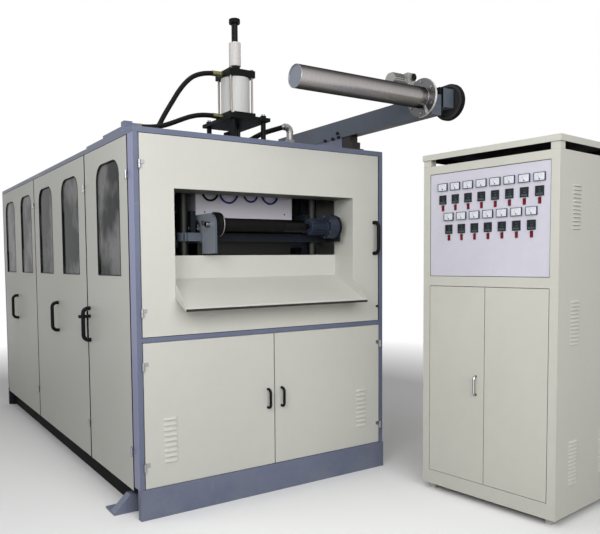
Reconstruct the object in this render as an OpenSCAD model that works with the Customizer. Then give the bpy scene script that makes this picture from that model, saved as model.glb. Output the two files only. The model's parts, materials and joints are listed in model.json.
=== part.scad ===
// Sheet-fed thermoforming machine with its roof cylinder, scrap winder and control cabinet.
// Origin: middle of the machine's footprint, on the floor. The front faces -Y, +Z is up.

/* [Machine frame] */
// Width over the side panels
frame_w = 1740; // [1450:10:2100]
// Length from the front face to the back face
frame_l = 3480; // [2900:10:4200]
// Height of the roof
frame_h = 2100; // [1980:10:2520]
// Height of the front and back skirts
skirt_h = 165; // [140:5:200]
// How far the skirts stand out past the doors
skirt_proud = 10; // [4:1:16]
// Height of the side sills
sill_h = 136; // [110:2:160]
// How far the side sills lie back from the side doors
sill_inset = 60; // [30:5:80]
// Front face width of the corner posts
post_face = 28; // [20:1:40]
// Side face width of the front corner posts
post_side = 80; // [60:5:100]
// Side face width of the back corner posts
back_post_side = 30; // [26:1:50]
// Section of the posts and rails behind the doors
tube = 50; // [40:5:60]
// Height of the roof's turned-down rim
rim_h = 30; // [20:2:40]
// Thickness of the roof sheet
roof_t = 4; // [2:1:6]
// Distance from the roof down to the underside of the front middle rail
mid_rail_drop = 1139; // [1100:1:1180]
// Height of the front middle rail
mid_rail_h = 26; // [20:1:40]

/* [Outrigger feet] */
// Length of a foot past the side of the machine
foot_out = 95; // [60:5:130]
// Width of a foot
foot_w = 140; // [110:5:180]
// Height of a foot's brace
foot_h = 100; // [70:5:120]
// Thickness of a foot's plate
foot_t = 12; // [8:1:16]
// Diameter of the anchor bolt hole
anchor_d = 18; // [14:1:22]

/* [Doors and panels] */
// Thickness of doors and fixed panels
door_t = 22; // [16:1:28]
// Gap between a door and what lies above, below or beside it
door_gap = 6; // [4:1:8]
// Distance from the front face to the first side seam
seam_1 = 835; // [780:5:900]
// Distance from the front face to the second side seam
seam_2 = 2185; // [2000:5:2300]
// Width of a side window
window_w = 394; // [320:2:460]
// Height of a side window
window_h = 652; // [500:2:760]
// Distance from the roof down to the top of a side window
window_drop = 133; // [110:1:180]
// Radius of a side window's upper corners
window_r = 100; // [40:5:150]
// Thickness of a window pane
pane_t = 5; // [3:1:8]
// Width of a louvred patch in a lower door
louvre_w = 82; // [60:2:110]
// Distance between louvres
louvre_pitch = 29; // [24:1:36]
// Number of louvres in a lower door
louvre_count = 9; // [4:1:10]

/* [Handles and hinges] */
// Diameter of a hinge barrel
hinge_d = 16; // [14:1:20]
// Height of one hinge knuckle
knuckle_h = 22; // [18:1:28]
// Diameter of a hinge pin
pin_d = 8; // [6:1:9]
// How far a hinge's axis stands out past the door's face
hinge_out = 10; // [8:1:12]
// Height of a large handle
handle_l = 225; // [150:5:280]
// How far a large handle stands out
handle_proud = 60; // [45:1:80]
// Thickness of a large handle's bar
handle_d = 20; // [14:1:26]
// Height of a small handle
pull_l = 126; // [100:2:160]
// How far a small handle stands out
pull_proud = 40; // [30:1:50]
// Thickness of a small handle's bar
pull_d = 13; // [10:1:16]

/* [Product scoop] */
// Width of the scoop opening
scoop_w = 1256; // [1050:2:1500]
// Distance from the machine's middle to the scoop's middle
scoop_x = -12; // [-60:2:60]
// Height of the scoop opening
scoop_h = 590; // [500:2:660]
// Distance from the roof down to the top of the scoop opening
scoop_drop = 313; // [270:1:330]
// Depth of the scoop's duct behind the front face
scoop_depth = 190; // [150:5:200]
// How far the tray reaches out in front of the machine
tray_out = 130; // [80:5:160]
// Slope of the tray
tray_slope = 27.5; // [15:0.5:32]
// Thickness of the folded sheet
sheet_t = 4; // [2:0.5:6]

/* [Forming press] */
// Distance from the front face to the middle of the press
press_in = 440; // [430:5:480]
// Width of the mould
mould_w = 690; // [560:10:690]
// Length of the mould
mould_l = 250; // [200:10:260]
// Height of the lower mould
mould_h = 140; // [120:5:160]
// Diameter of the press columns
column_d = 60; // [50:2:70]
// Distance from the middle to a column, across the machine
column_x = 470; // [460:5:520]
// Distance from the middle to a column, along the machine
column_y = 190; // [180:5:200]
// Thickness of the press platens
platen_t = 60; // [45:5:80]
// Stroke of the lower platen
lift_stroke = 115; // [80:5:118]
// Wall of the cooling box
box_wall = 12; // [8:1:16]
// Diameter of a cup cavity
cavity_d = 96; // [80:2:104]
// Diameter of a forming plug
plug_d = 70; // [50:2:76]

/* [Sheet feed] */
// Distance from the roof down to the sheet line
sheet_drop = 457; // [450:1:470]
// Distance from the middle to a chain rail's inner face
rail_x = 400; // [400:1:404]
// Thickness of a chain rail
rail_t = 30; // [20:2:32]
// Pitch diameter of the chain sprockets
sprocket_d = 110; // [90:2:116]
// Diameter of the sprocket shafts
shaft_d = 30; // [24:2:34]
// Diameter of the pull roller
roller_d = 76; // [60:1:84]
// Distance from the front face to the pull roller's axis
roller_in = 105; // [103:1:125]
// Diameter of the pull roller's belt ring
ring_d = 144; // [110:2:148]

/* [Roof cylinder] */
// Distance from the machine's middle to the cylinder's axis
cyl_x = 9; // [-10:1:20]
// Width of the cylinder's base plate
base_w = 286; // [250:2:340]
// Length of the cylinder's base plate
base_l = 382; // [320:2:420]
// Height of the base plate's top above the roof
base_rise = 191; // [170:1:220]
// Thickness of the base plate
base_t = 22; // [14:1:26]
// Side of the cylinder's square heads
head_w = 188; // [184:2:200]
// Height of the lower head
low_head_h = 44; // [40:1:60]
// Height of the upper head
top_head_h = 43; // [40:1:60]
// Outer diameter of the cylinder tube
barrel_d = 186; // [160:2:190]
// Length of the cylinder tube
barrel_h = 223; // [200:1:260]
// Diameter of the cylinder rod
rod_d = 41; // [34:1:46]
// Diameter of the white stop sleeve
sleeve_d = 77; // [64:1:84]
// Height of the white stop sleeve
sleeve_h = 151; // [120:1:180]
// Stroke of the forming plugs
plug_stroke = 118; // [80:1:118]
// Height of the knob on top
knob_h = 27; // [20:1:50]

/* [Scrap winder] */
// Diameter of the winder roller
winder_d = 122; // [100:2:130]
// Length of the winder roller
winder_l = 915; // [765:5:1095]
// How far the winder's axis lies in front of the machine
winder_out = 439; // [380:1:480]
// Height of the winder's axis above the roof
winder_rise = 243; // [235:1:260]
// Diameter of the flange disc
flange_d = 225; // [190:1:250]
// Diameter of the belt wheel
wheel_d = 206; // [180:2:230]
// Width of the winder arm
arm_w = 80; // [64:2:92]
// Height of the winder arm
arm_h = 120; // [100:5:130]
// Height of the arm's underside above the roof
arm_rise = 140; // [120:2:150]

/* [Control cabinet] */
// Width of the cabinet
cab_w = 819; // [680:1:960]
// Depth of the cabinet
cab_d = 700; // [600:10:840]
// Height of the cabinet's body top above the floor
cab_h = 1932; // [1900:2:2300]
// Height of the cabinet's feet
cab_foot = 38; // [30:1:70]
// Width of the cabinet's front stiles
stile_w = 45; // [36:1:60]
// Thickness of the cabinet's sheet walls
cab_t = 4; // [2:1:6]
// Thickness of the cabinet's doors
leaf_t = 16; // [12:1:20]
// Turn of the cabinet against the machine
cab_turn = -83.75; // [-90:0.25:-75]
// Distance between instruments in a row
dial_pitch = 83; // [72:1:92]

/* [Hidden] */
$fn = 48;
front = -frame_l / 2;
back = frame_l / 2;
left = -frame_w / 2;
right = frame_w / 2;
// Distance between two pieces that rest against each other
seat = 0.3;
// Radial running clearance of pins, shafts and rods in their bores
run = 0.05;
// How far the posts and rails lie behind the outer faces of the doors
set_back = door_t + 0.5;
roof_under = frame_h - roof_t;
rim_z = frame_h - rim_h;
top_rail_z = roof_under - tube;
rail_z = frame_h - mid_rail_drop;
side_bottom = sill_h + 4;
door_top = rim_z - 3;
// Side doors: start and end along the machine
hinge_clear = 4;
// Each door stops 2 mm short of the hinge barrels of the next one
barrel_room = hinge_clear + hinge_d / 2 + 2;
doors_y = [
    [post_side + door_gap + 4, seam_1 + 5 - barrel_room],
    [seam_1 + 5, seam_2 + 5 - barrel_room],
    [seam_2 + 5, frame_l - back_post_side - door_gap]
];
front_edge = post_face + door_gap;
hinge_drop = 184;
window_pitch = 650;
window_inset = 8;
// Scoop
scoop_top = frame_h - scoop_drop;
scoop_z = scoop_top - scoop_h;
scoop_l = scoop_x - scoop_w / 2;
scoop_r = scoop_x + scoop_w / 2;
lip_z = scoop_z - tray_out * tan(tray_slope);
lip_h = 20;
// Press
press_y = front + press_in;
sheet_z = frame_h - sheet_drop;
mould_top = sheet_z - lift_stroke - 8;
platen_top = mould_top - mould_h;
platen_w = 2 * column_x + 140;
platen_l = 2 * column_y + 90;
cool_z = sheet_z + 17;
crown_z = cool_z + 190;
cool_w = mould_w + 20;
cool_l = mould_l + 10;
plug_plate_z = crown_z - 70;
plug_l = 80;
ram_d = 80;
ram_body_top = 900;
cavity_pitch = 128;
// Mould width that the cavities leave free
cavity_free = 40;
// Feed
rail_low = sheet_z - 103;
rail_top = sheet_z + 47;
sprocket_z = sheet_z - sprocket_d / 2;
front_shaft_y = front + 262;
rear_shaft_y = back - 180;
sprocket_w = 20;
bracket_z = sheet_z - 133;
roller_z = sheet_z - roller_d / 2;
roller_y = front + roller_in;
cheek_t = 16;
cheek_r = 64;
// The left cheek stands 1 mm off the cooling box
cheek_x = -cool_w / 2 - 1;
drum_x = 466;
drum_d = 146;
motor_end = column_x + 80;
// Roof cylinder levels
base_z = frame_h + base_rise;
barrel_z = base_z + low_head_h;
top_head_z = barrel_z + barrel_h;
hub_z = top_head_z + top_head_h;
hub_h = 37;
hub_d = 64;
sleeve_z = hub_z + hub_h;
knob_z = sleeve_z + sleeve_h + plug_stroke + 2;
bore_d = barrel_d - 24;
post_x = base_w / 2 - 33;
post_y = base_l / 2 - 33;
tie_x = head_w / 2 - 16;
tie_d = 14;
// Winder
winder_y = front - winder_out;
winder_z = frame_h + winder_rise;
arm_x = right - arm_w;
arm_z = frame_h + arm_rise;
flange_t = 14;
winder_shaft_d = 40;
wheel_x = right + 120;
wheel_w = 40;
pinion_y = winder_y + 189;
pinion_z = winder_z + 66;
pinion_d = 60;
pinion_shaft_d = 24;
belt_t = 5;
motor_z = pinion_z + 78;
// Air hoses: points along each route, from the cylinder's middle at the roof
hose_d = 30;
upper_hose = [
    [-107, 0, 478], [-170, 0, 475], [-237, 0, 463], [-300, 0, 437], [-352, 0, 394],
    [-400, 0, 336], [-446, 0, 266], [-491, 0, 195], [-526, 0, 134], [-546, 0, 92], [-552, 0, 50]
];
lower_hose = [
    [-107, 0, 211], [-165, 0, 212], [-225, -3, 209], [-283, -12, 199], [-340, -24, 182],
    [-400, -36, 158], [-460, -47, 132], [-520, -56, 108], [-580, -60, 92], [-640, -60, 84],
    [-700, -60, 82]
];
right_hose = [
    [60, 0, 66], [110, 0, 85], [165, 0, 115], [225, 0, 143], [308, 0, 172], [345, 0, 184],
    [376, 0, 196]
];
elbow_d = 48;
elbow_r = 34;
elbow_out = 426;
// Cabinet
cab_x = right - 39;
cab_y = front - 852;
cab_in = cab_w / 2 - stile_w;
panel_low = cab_h - 643;
panel_top = cab_h - 46;
leaf_low = 120;
leaf_top = panel_low - 55;
cap_gap = 37;
cap_h = 34;
cap_over = 6;
pivot_d = 6;
pivot_in = 12;
dial_w = 62;
dial_h = 44;
gauge_w = 46;
gauge_h = 52;
rocker_w = 13.8;
rocker_h = 28;
rocker_tilt = 9;
rows = [8, 7];
row_top = [cab_h - 128, cab_h - 299];
cab_louvre_w = 90;
cab_louvre_pitch = 20;

// Colours
steel_blue = [0.45, 0.49, 0.60];
cream = [0.80, 0.80, 0.77];
dark = [0.08, 0.08, 0.09];
bright = [0.75, 0.76, 0.78];

// ---- shared shapes ----

// A box between two corners
module block(low, high) {
    translate(low) cube(high - low);
}

// A round bar along X
module bar_x(d, x0, x1, y, z) {
    translate([x0, y, z]) rotate([0, 90, 0]) cylinder(d = d, h = x1 - x0);
}

// A rounded C-shaped handle on legs, standing out along -Y; its middle is the origin
module c_handle(length, proud, d) {
    reach = (length - d) / 2;
    for (end = [-reach, reach]) {
        translate([0, -seat, end]) rotate([90, 0, 0]) cylinder(d = d, h = proud - d / 2 - seat);
        translate([0, d / 2 - proud, end]) sphere(d = d);
    }
    translate([0, d / 2 - proud, -reach]) cylinder(d = d, h = 2 * reach);
}

// Fixed half of a hinge: axis on Z, the frame lies towards +Y, the door towards +X
module hinge_fixed() {
    cylinder(d = hinge_d, h = knuckle_h);
    cylinder(d = pin_d, h = 2 * knuckle_h - 2);
    block([-1.5, 0, 0], [1.5, hinge_out + set_back, knuckle_h]);
}

// Door half of a hinge, in the same place
module hinge_moving() {
    translate([0, 0, knuckle_h + seat]) difference() {
        union() {
            cylinder(d = hinge_d, h = knuckle_h);
            block([0, hinge_out - 5, 0], [30, hinge_out + 1, knuckle_h]);
        }
        translate([0, 0, -1]) cylinder(d = pin_d + 2 * run, h = knuckle_h + 2);
    }
}

// Places a part drawn for a front door's left edge at one on the left side, y along the machine
module at_side(y, z) {
    translate([left, front + y, z]) mirror([1, -1, 0]) children();
}

// One pressed louvre along X, its face towards -Y; the origin is its upper left corner
module louvre(width, drop, proud) {
    translate([width, 0, 0]) rotate([90, 0, -90])
        linear_extrude(width) polygon([[0, 0], [proud, -drop], [proud - 1.5, -drop], [-1, -1.5]]);
}

// ---- frame and casings ----

module foot() {
    y0 = front + 150;
    block([left - foot_out, y0, 0], [left + sill_inset, y0 + foot_w, foot_t]);
    translate([left, y0 + foot_w / 2 - 10, 0]) rotate([90, 0, 0]) linear_extrude(foot_w / 2 - 10)
        polygon([
            [-foot_out, foot_t], [0, foot_h], [sill_inset, foot_h], [sill_inset, foot_t - 1],
            [-foot_out, foot_t - 1]
        ]);
}

module base_frame() {
    sill_x = left + sill_inset;
    color(steel_blue) difference() {
        union() {
            for (end = [-1, 1]) scale([1, end, 1]) {
                block([left, front - skirt_proud, 0], [right, front + back_post_side, skirt_h]);
                block([left + set_back, front, 0], [right - set_back, front + tube, skirt_h]);
            }
            for (side = [-1, 1]) scale([side, 1, 1]) {
                block([sill_x, front, 0], [sill_x + tube, back, sill_h]);
                foot();
            }
            for (y = [press_y - column_y, press_y + column_y, 0, rear_shaft_y])
                block([sill_x, y - tube, 0], [-sill_x, y + tube, 100]);
            block([-120, press_y - column_y, 0], [120, press_y + column_y, 100]);
        }
        for (side = [-1, 1])
            translate([side * (frame_w / 2 + foot_out / 2), front + 115 + foot_w, -1])
                cylinder(d = anchor_d, h = foot_t + 2);
    }
}

// A corner post: an outer face and, behind it, the rebate that the doors close against
module corner_post(side_face) {
    block([left, front, skirt_h], [left + post_face, front + side_face, rim_z]);
    block(
        [left + set_back, front + set_back, skirt_h],
        [left + set_back + tube, front + side_face + 30, top_rail_z]
    );
}

module upper_frame() {
    inner = left + set_back;
    color(steel_blue) {
        for (side = [-1, 1]) scale([side, 1, 1]) {
            corner_post(post_side);
            scale([1, -1, 1]) corner_post(back_post_side);
        }
        for (side = [-1, 1]) scale([side, 1, 1]) {
            for (seam = [seam_1, seam_2])
                block(
                    [inner, front + seam - tube / 2, sill_h],
                    [inner + tube, front + seam + tube / 2, top_rail_z]
                );
            block([inner, front + set_back, top_rail_z], [inner + tube, back - set_back, roof_under]);
            block([left + sill_inset, front + tube, sill_h], [inner + tube, back - tube, sill_h + 30]);
        }
        for (end = [-1, 1]) scale([1, end, 1])
            block([inner, front + set_back, top_rail_z], [-inner, front + set_back + tube, roof_under]);
        for (y = [front + seam_1, front + seam_2])
            block([inner, y - tube / 2, top_rail_z], [-inner, y + tube / 2, roof_under]);
        block([left + post_face, front, rail_z], [right - post_face, front + tube, rail_z + mid_rail_h]);
        for (y = [front + seam_1, front + seam_2, back - 80])
            block([inner, y - tube / 2, rail_low - tube], [-inner, y + tube / 2, rail_low]);
    }
}

module roof_panel() {
    color(steel_blue) difference() {
        union() {
            block([left, front, rim_z], [right, back, frame_h]);
            block([left + 6, front + 190, frame_h - 1], [left + 275, front + 484, frame_h + 28]);
            block([left + 6, front + 483, frame_h - 1], [left + 275, front + 800, frame_h + 14]);
        }
        block([left + sheet_t, front + sheet_t, rim_z - 1], [right - sheet_t, back - sheet_t, roof_under]);
        translate([cyl_x, press_y, roof_under - 1]) cylinder(d = rod_d + 10, h = roof_t + 2);
    }
}

module fixed_panels() {
    color(cream) {
        for (span = doors_y)
            block([right - door_t, front + span[0], side_bottom], [right, front + span[1], door_top]);
        difference() {
            block(
                [left + post_face + 4, back - door_t, skirt_h + 3],
                [right - post_face - 4, back, door_top]
            );
            block([-440, back - door_t - 1, sheet_z - 60], [440, back + 1, sheet_z + 60]);
        }
    }
}

// Hinge places as [x or y from the edge, height] for every machine door
upper_hinges = [rail_z + mid_rail_h + 111, door_top - hinge_drop];
lower_hinges = [skirt_h + 100, rail_z - 150];
side_hinges = [side_bottom + 200, door_top - 230];

module hinge_pins() {
    color(bright) {
        for (z = upper_hinges)
            translate([left + front_edge - hinge_clear, front - hinge_out, z]) hinge_fixed();
        for (z = lower_hinges) for (side = [-1, 1]) scale([-side, 1, 1])
            translate([left + front_edge - hinge_clear, front - hinge_out, z]) hinge_fixed();
        for (span = doors_y) for (z = side_hinges)
            at_side(span[0] - hinge_clear, z) translate([0, -hinge_out, 0]) hinge_fixed();
    }
}

// ---- doors ----

module scoop() {
    rise = scoop_depth * tan(tray_slope);
    // duct: top and two sides
    block(
        [scoop_l - sheet_t, front, scoop_top],
        [scoop_r + sheet_t, front + scoop_depth, scoop_top + sheet_t]
    );
    // each cheek follows the tray, inside the duct and out to the lip
    for (x = [scoop_l - sheet_t, scoop_r])
        translate([x, front, 0]) rotate([90, 0, 90]) linear_extrude(sheet_t) polygon([
            [-tray_out, lip_z - sheet_t], [-tray_out, lip_z + lip_h], [0, scoop_z + 75],
            [0, scoop_top + sheet_t], [scoop_depth, scoop_top + sheet_t],
            [scoop_depth, scoop_z + rise - sheet_t]
        ]);
    // plate that stands up from the back of the tray
    block([scoop_l - sheet_t, front + scoop_depth - sheet_t, scoop_z + rise - sheet_t],
        [scoop_r + sheet_t, front + scoop_depth, scoop_z + 230]);
    // tray with its turned-up lip
    translate([scoop_l - sheet_t, front, 0]) rotate([90, 0, 90])
        linear_extrude(scoop_w + 2 * sheet_t) polygon([
        [-tray_out - sheet_t, lip_z - sheet_t], [-tray_out - sheet_t, lip_z + lip_h],
        [-tray_out, lip_z + lip_h], [-tray_out, lip_z], [scoop_depth, scoop_z + rise],
        [scoop_depth, scoop_z + rise - sheet_t], [-tray_out, lip_z - sheet_t]
    ]);
}

module front_door() {
    low = rail_z + mid_rail_h + 3;
    color(cream) {
        difference() {
            block([left + front_edge, front, low], [right - front_edge - 6, front + door_t, door_top]);
            block([scoop_l, front - 1, scoop_z], [scoop_r, front + door_t + 1, scoop_top]);
        }
        scoop();
        for (z = upper_hinges)
            translate([left + front_edge - hinge_clear, front - hinge_out, z]) hinge_moving();
    }
    color(dark) translate([right - 77, front, scoop_top - 253]) c_handle(handle_l, handle_proud, handle_d);
    color(bright) translate([right - 54, front - seat, low + 94]) rotate([90, 0, 0]) cylinder(d = 14, h = 12);
}

// A lower door drawn on the left; the right one is its mirror image
module lower_door() {
    color(cream) {
        block([left + front_edge, front, skirt_h + 3], [-4, front + door_t, rail_z - 3]);
        for (i = [0:louvre_count - 1])
            translate([left + 146, front, skirt_h + 116 + louvre_pitch * (louvre_count - i)])
                louvre(louvre_w, 14, 7);
        for (z = lower_hinges)
            translate([left + front_edge - hinge_clear, front - hinge_out, z]) hinge_moving();
    }
    color(dark) translate([-49, front, (skirt_h + rail_z) / 2 + 7]) c_handle(pull_l, pull_proud, pull_d);
}

module lower_door_left() {
    lower_door();
}

module lower_door_right() {
    mirror([1, 0, 0]) lower_door();
}

// Outline of a side window: x along the door, y up, its foot at the origin's height
module window_outline(grow) {
    w = window_w / 2 + grow;
    r = window_r + grow;
    translate([-w, -grow]) square([2 * w, window_h - window_r + grow]);
    translate([r - w, -grow]) square([2 * (w - r), window_h + 2 * grow]);
    for (side = [-1, 1]) translate([side * (w - r), window_h - window_r]) circle(r = r);
}

// A side door in its own plane: x along the machine from the front face, -y outwards, z up
module side_door(span, windows, handle_at) {
    base = frame_h - window_drop - window_h;
    color(cream) difference() {
        block([span[0], 0, side_bottom], [span[1], door_t, door_top]);
        for (x = windows) translate([x, door_t + 1, base]) rotate([90, 0, 0])
            linear_extrude(door_t + 2) window_outline(0);
    }
    for (x = windows) color([0.1, 0.2, 0.18, 0.6])
        translate([x, window_inset + pane_t, base]) rotate([90, 0, 0])
            linear_extrude(pane_t) window_outline(-seat);
    for (z = side_hinges) color(cream)
        translate([span[0] - hinge_clear, -hinge_out, z]) hinge_moving();
    color(dark) translate([handle_at, 0, side_bottom + 866]) c_handle(handle_l, handle_proud, handle_d);
}

module side_door_front() {
    span = doors_y[0];
    at_side(0, 0) side_door(span, [(span[0] + span[1]) / 2 - 46], span[1] - 41);
}

module side_door_middle() {
    span = doors_y[1];
    mid = (span[0] + span[1]) / 2;
    at_side(0, 0) side_door(span, [mid - window_pitch / 2, mid + window_pitch / 2], mid + 22);
}

module side_door_rear() {
    span = doors_y[2];
    mid = (span[0] + span[1]) / 2;
    at_side(0, 0) side_door(span, [mid - window_pitch / 2, mid + window_pitch / 2], mid + 80);
}

// ---- forming press ----

module at_columns() {
    for (x = [-column_x, column_x]) for (y = [-column_y, column_y]) translate([x, press_y + y, 0]) children();
}

module press_columns() {
    color(bright) at_columns() {
        translate([0, 0, 100]) cylinder(d = column_d, h = crown_z - 100);
        translate([0, 0, crown_z - 0.5]) cylinder(d = column_d - 12, h = platen_t + 0.5 + 40);
        translate([0, 0, crown_z + platen_t + seat]) cylinder(d = column_d + 30, h = 34, $fn = 6);
    }
}

module upper_platen() {
    color(steel_blue) difference() {
        block([-platen_w / 2, press_y - platen_l / 2, crown_z + seat],
            [platen_w / 2, press_y + platen_l / 2, crown_z + platen_t]);
        at_columns() translate([0, 0, crown_z - 1]) cylinder(d = column_d - 12 + 2 * run, h = platen_t + 2);
        translate([cyl_x, press_y, crown_z - 1]) cylinder(d = rod_d + 4, h = platen_t + 2);
    }
}

module cooling_box() {
    color([0.9, 0.9, 0.92]) difference() {
        block([-cool_w / 2, press_y - cool_l / 2, cool_z], [cool_w / 2, press_y + cool_l / 2, crown_z]);
        block(
            [box_wall - cool_w / 2, press_y - cool_l / 2 + box_wall, cool_z - 1],
            [cool_w / 2 - box_wall, press_y + cool_l / 2 - box_wall, crown_z - box_wall]
        );
        translate([cyl_x, press_y, crown_z - box_wall - 1]) cylinder(d = rod_d + 4, h = box_wall + 2);
    }
}

// Cooling water hoses: half loops that hang from a manifold on the front of the cooling box
module water_hoses() {
    y = press_y - cool_l / 2 - 12;
    z = crown_z - 36;
    color([0.12, 0.16, 0.42]) {
        block([20 - cool_w / 2, y - 12, z], [cool_w / 2 - 60, y + 12 - seat, z + 24]);
        for (loop = [[-260, 52], [-130, 62], [30, 50], [175, 58]])
            translate([loop[0], y, z + 1]) rotate([-90, 0, 0]) rotate_extrude(angle = 180)
                translate([loop[1], 0]) circle(d = 12);
    }
}

// Cavity or plug places in two rows, as many as the mould's width holds
module at_cavities() {
    count = floor((mould_w - cavity_free) / cavity_pitch);
    for (row = [-1, 1]) for (i = [0:count - 1])
        translate([(i - (count - 1) / 2) * cavity_pitch, press_y + row * 58, 0]) children();
}

module lower_platen() {
    color([0.6, 0.62, 0.64]) {
        difference() {
            block(
                [-platen_w / 2, press_y - platen_l / 2, platen_top - platen_t],
                [platen_w / 2, press_y + platen_l / 2, platen_top]
            );
            at_columns() translate([0, 0, platen_top - platen_t - 1])
                cylinder(d = column_d + 2 * run, h = platen_t + 2);
        }
        translate([0, press_y, ram_body_top - 170])
            cylinder(d = ram_d, h = platen_top - platen_t - ram_body_top + 171);
        difference() {
            block(
                [-mould_w / 2, press_y - mould_l / 2, platen_top - 1],
                [mould_w / 2, press_y + mould_l / 2, mould_top]
            );
            at_cavities() translate([0, 0, mould_top - 110]) cylinder(d = cavity_d, h = 111);
        }
    }
}

module lift_cylinder() {
    color(steel_blue) difference() {
        union() {
            translate([0, press_y, 100]) cylinder(d = 200, h = ram_body_top - 100);
            translate([0, press_y, 100]) cylinder(d = 260, h = 30);
            translate([0, press_y, ram_body_top - 40]) cylinder(d = 230, h = 40);
        }
        translate([0, press_y, ram_body_top - 260]) cylinder(d = ram_d + 2 * run, h = 261);
    }
}

// ---- sheet feed ----

module heater_banks() {
    y0 = front + seam_1 - tube / 2;
    y1 = rear_shaft_y - 90;
    half = rail_x - 45;
    color([0.62, 0.6, 0.56]) {
        block([-half, y0, rail_low + seat], [half, y1, rail_low + 24]);
        block([-rail_x - rail_t, y0, rail_top + 26], [rail_x + rail_t, y1, rail_top + 60]);
        for (side = [-1, 1]) for (y = [y0, (y0 + y1) / 2, y1 - 40]) scale([side, 1, 1])
            block([rail_x, y, rail_top + seat], [rail_x + rail_t, y + 40, rail_top + 27]);
        for (y = [y0 + 80:160:y1 - 80]) for (x = [-2:2]) {
            translate([x * 135, y, rail_top + 18]) cube([110, 80, 18], center = true);
            translate([x * 135, y, rail_low + 26]) cube([110, 80, 8], center = true);
        }
    }
}

module chain_rails() {
    color(steel_blue) for (side = [-1, 1]) difference() {
        scale([side, 1, 1]) block(
            [rail_x, front + 225, rail_low + seat],
            [rail_x + rail_t, back - 40, rail_top]
        );
        for (y = [front_shaft_y, rear_shaft_y])
            translate([side * (rail_x + rail_t / 2), 0, 0])
                bar_x(shaft_d + 2 * run, -rail_t, rail_t, y, sprocket_z);
    }
}

// A sprocket shaft with its two toothed wheels
module chain_shaft(y, reach) {
    teeth = 20;
    color(bright) {
        bar_x(shaft_d, -rail_x - rail_t - 8, rail_x + rail_t + reach, y, sprocket_z);
        for (side = [-1, 1]) {
            x = side * (rail_x - sprocket_w / 2 - 6);
            bar_x(sprocket_d - 14, x - sprocket_w / 2, x + sprocket_w / 2, y, sprocket_z);
            translate([x, y, sprocket_z]) for (i = [0:teeth - 1]) rotate([i * 360 / teeth, 0, 0])
                translate([0, 0, sprocket_d / 2 - 8]) cube([7, 7, 15], center = true);
        }
    }
}

module chain_shaft_front() {
    chain_shaft(front_shaft_y, 8);
}

module chain_shaft_rear() {
    chain_shaft(rear_shaft_y, 100);
}

module chain_motor() {
    x = rail_x + rail_t + seat;
    y = rear_shaft_y;
    color([0.25, 0.3, 0.42]) difference() {
        union() {
            block([x, y - 60, sprocket_z - 60], [x + 120, y + 60, sprocket_z + 60]);
            bar_x(130, x + 119, x + 290, y, sprocket_z);
            bar_x(146, x + 250, x + 270, y, sprocket_z);
        }
        bar_x(shaft_d + 2 * run, x - 1, x + 105, y, sprocket_z);
    }
}

// Two cheeks on a bar that is clamped to the front press columns
module roller_bracket() {
    column_front = press_y - column_y;
    outer = cheek_x - cheek_t;
    color(steel_blue) difference() {
        union() {
            block([-column_x, front + 190, bracket_z], [motor_end, front + 208, bracket_z + 50]);
            for (x = [-column_x, column_x]) {
                translate([x, column_front, bracket_z]) cylinder(d = column_d + 16, h = 50);
                block([x - 15, front + 200, bracket_z], [x + 15, column_front, bracket_z + 50]);
            }
            // left cheek: round at the front, with a leg in front of the press
            bar_x(2 * cheek_r, outer, cheek_x, roller_y, roller_z);
            block([outer, roller_y, bracket_z - 9], [cheek_x, front + 480, roller_z + cheek_r]);
            block([outer, roller_y - cheek_r, scoop_z + 240], [cheek_x, front + 200, roller_z]);
            // right cheek
            block([motor_end, front + 60, bracket_z], [motor_end + 12, front + 208, sheet_z + 20]);
        }
        for (x = [-column_x, column_x])
            translate([x, column_front, bracket_z - 1]) cylinder(d = column_d + 2 * seat, h = 52);
        bar_x(30 + 2 * run, outer - 1, cheek_x + 1, roller_y, roller_z);
        bar_x(shaft_d + 2 * run, outer - 1, cheek_x + 1, front_shaft_y, sprocket_z);
    }
}

module pull_roller() {
    color(dark) {
        bar_x(roller_d, cheek_x + 50, drum_x - 180, roller_y, roller_z);
        // tyre with a disc beside it
        bar_x(ring_d - 14, cheek_x + 4, cheek_x + 47, roller_y, roller_z);
        bar_x(ring_d, cheek_x + 12, cheek_x + 38, roller_y, roller_z);
        bar_x(ring_d - 6, cheek_x + 46, cheek_x + 51, roller_y, roller_z);
        bar_x(30, cheek_x - cheek_t - 26, drum_x + 40, roller_y, roller_z);
    }
}

module roller_motor() {
    end = motor_end - seat;
    color([0.25, 0.28, 0.36]) difference() {
        union() {
            bar_x(drum_d, drum_x, end - 20, roller_y, roller_z);
            bar_x(drum_d + 8, end - 20, end, roller_y, roller_z);
            bar_x(90, drum_x - 130, drum_x, roller_y, roller_z);
        }
        bar_x(30 + 2 * run, drum_x - 131, drum_x + 45, roller_y, roller_z);
    }
}

// ---- roof cylinder ----

module at_cylinder() {
    translate([cyl_x, press_y, 0]) children();
}

module at_posts() {
    for (x = [-post_x, post_x]) for (y = [-post_y, post_y]) translate([x, y, 0]) children();
}

module cylinder_plate() {
    color(dark) at_cylinder() {
        difference() {
            block([-base_w / 2, -base_l / 2, base_z - base_t], [base_w / 2, base_l / 2, base_z]);
            translate([0, 0, base_z - base_t - 1]) cylinder(d = rod_d + 4, h = base_t + 2);
        }
        at_posts() {
            translate([0, 0, frame_h]) cylinder(d = 32, h = base_rise - base_t + 1);
            translate([0, 0, base_z - 1]) cylinder(d = 42, h = 17, $fn = 6);
            translate([0, 0, base_z + 15]) cylinder(d = 22, h = 12);
            translate([0, 0, frame_h]) cylinder(d = 42, h = 16, $fn = 6);
        }
    }
}

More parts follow.
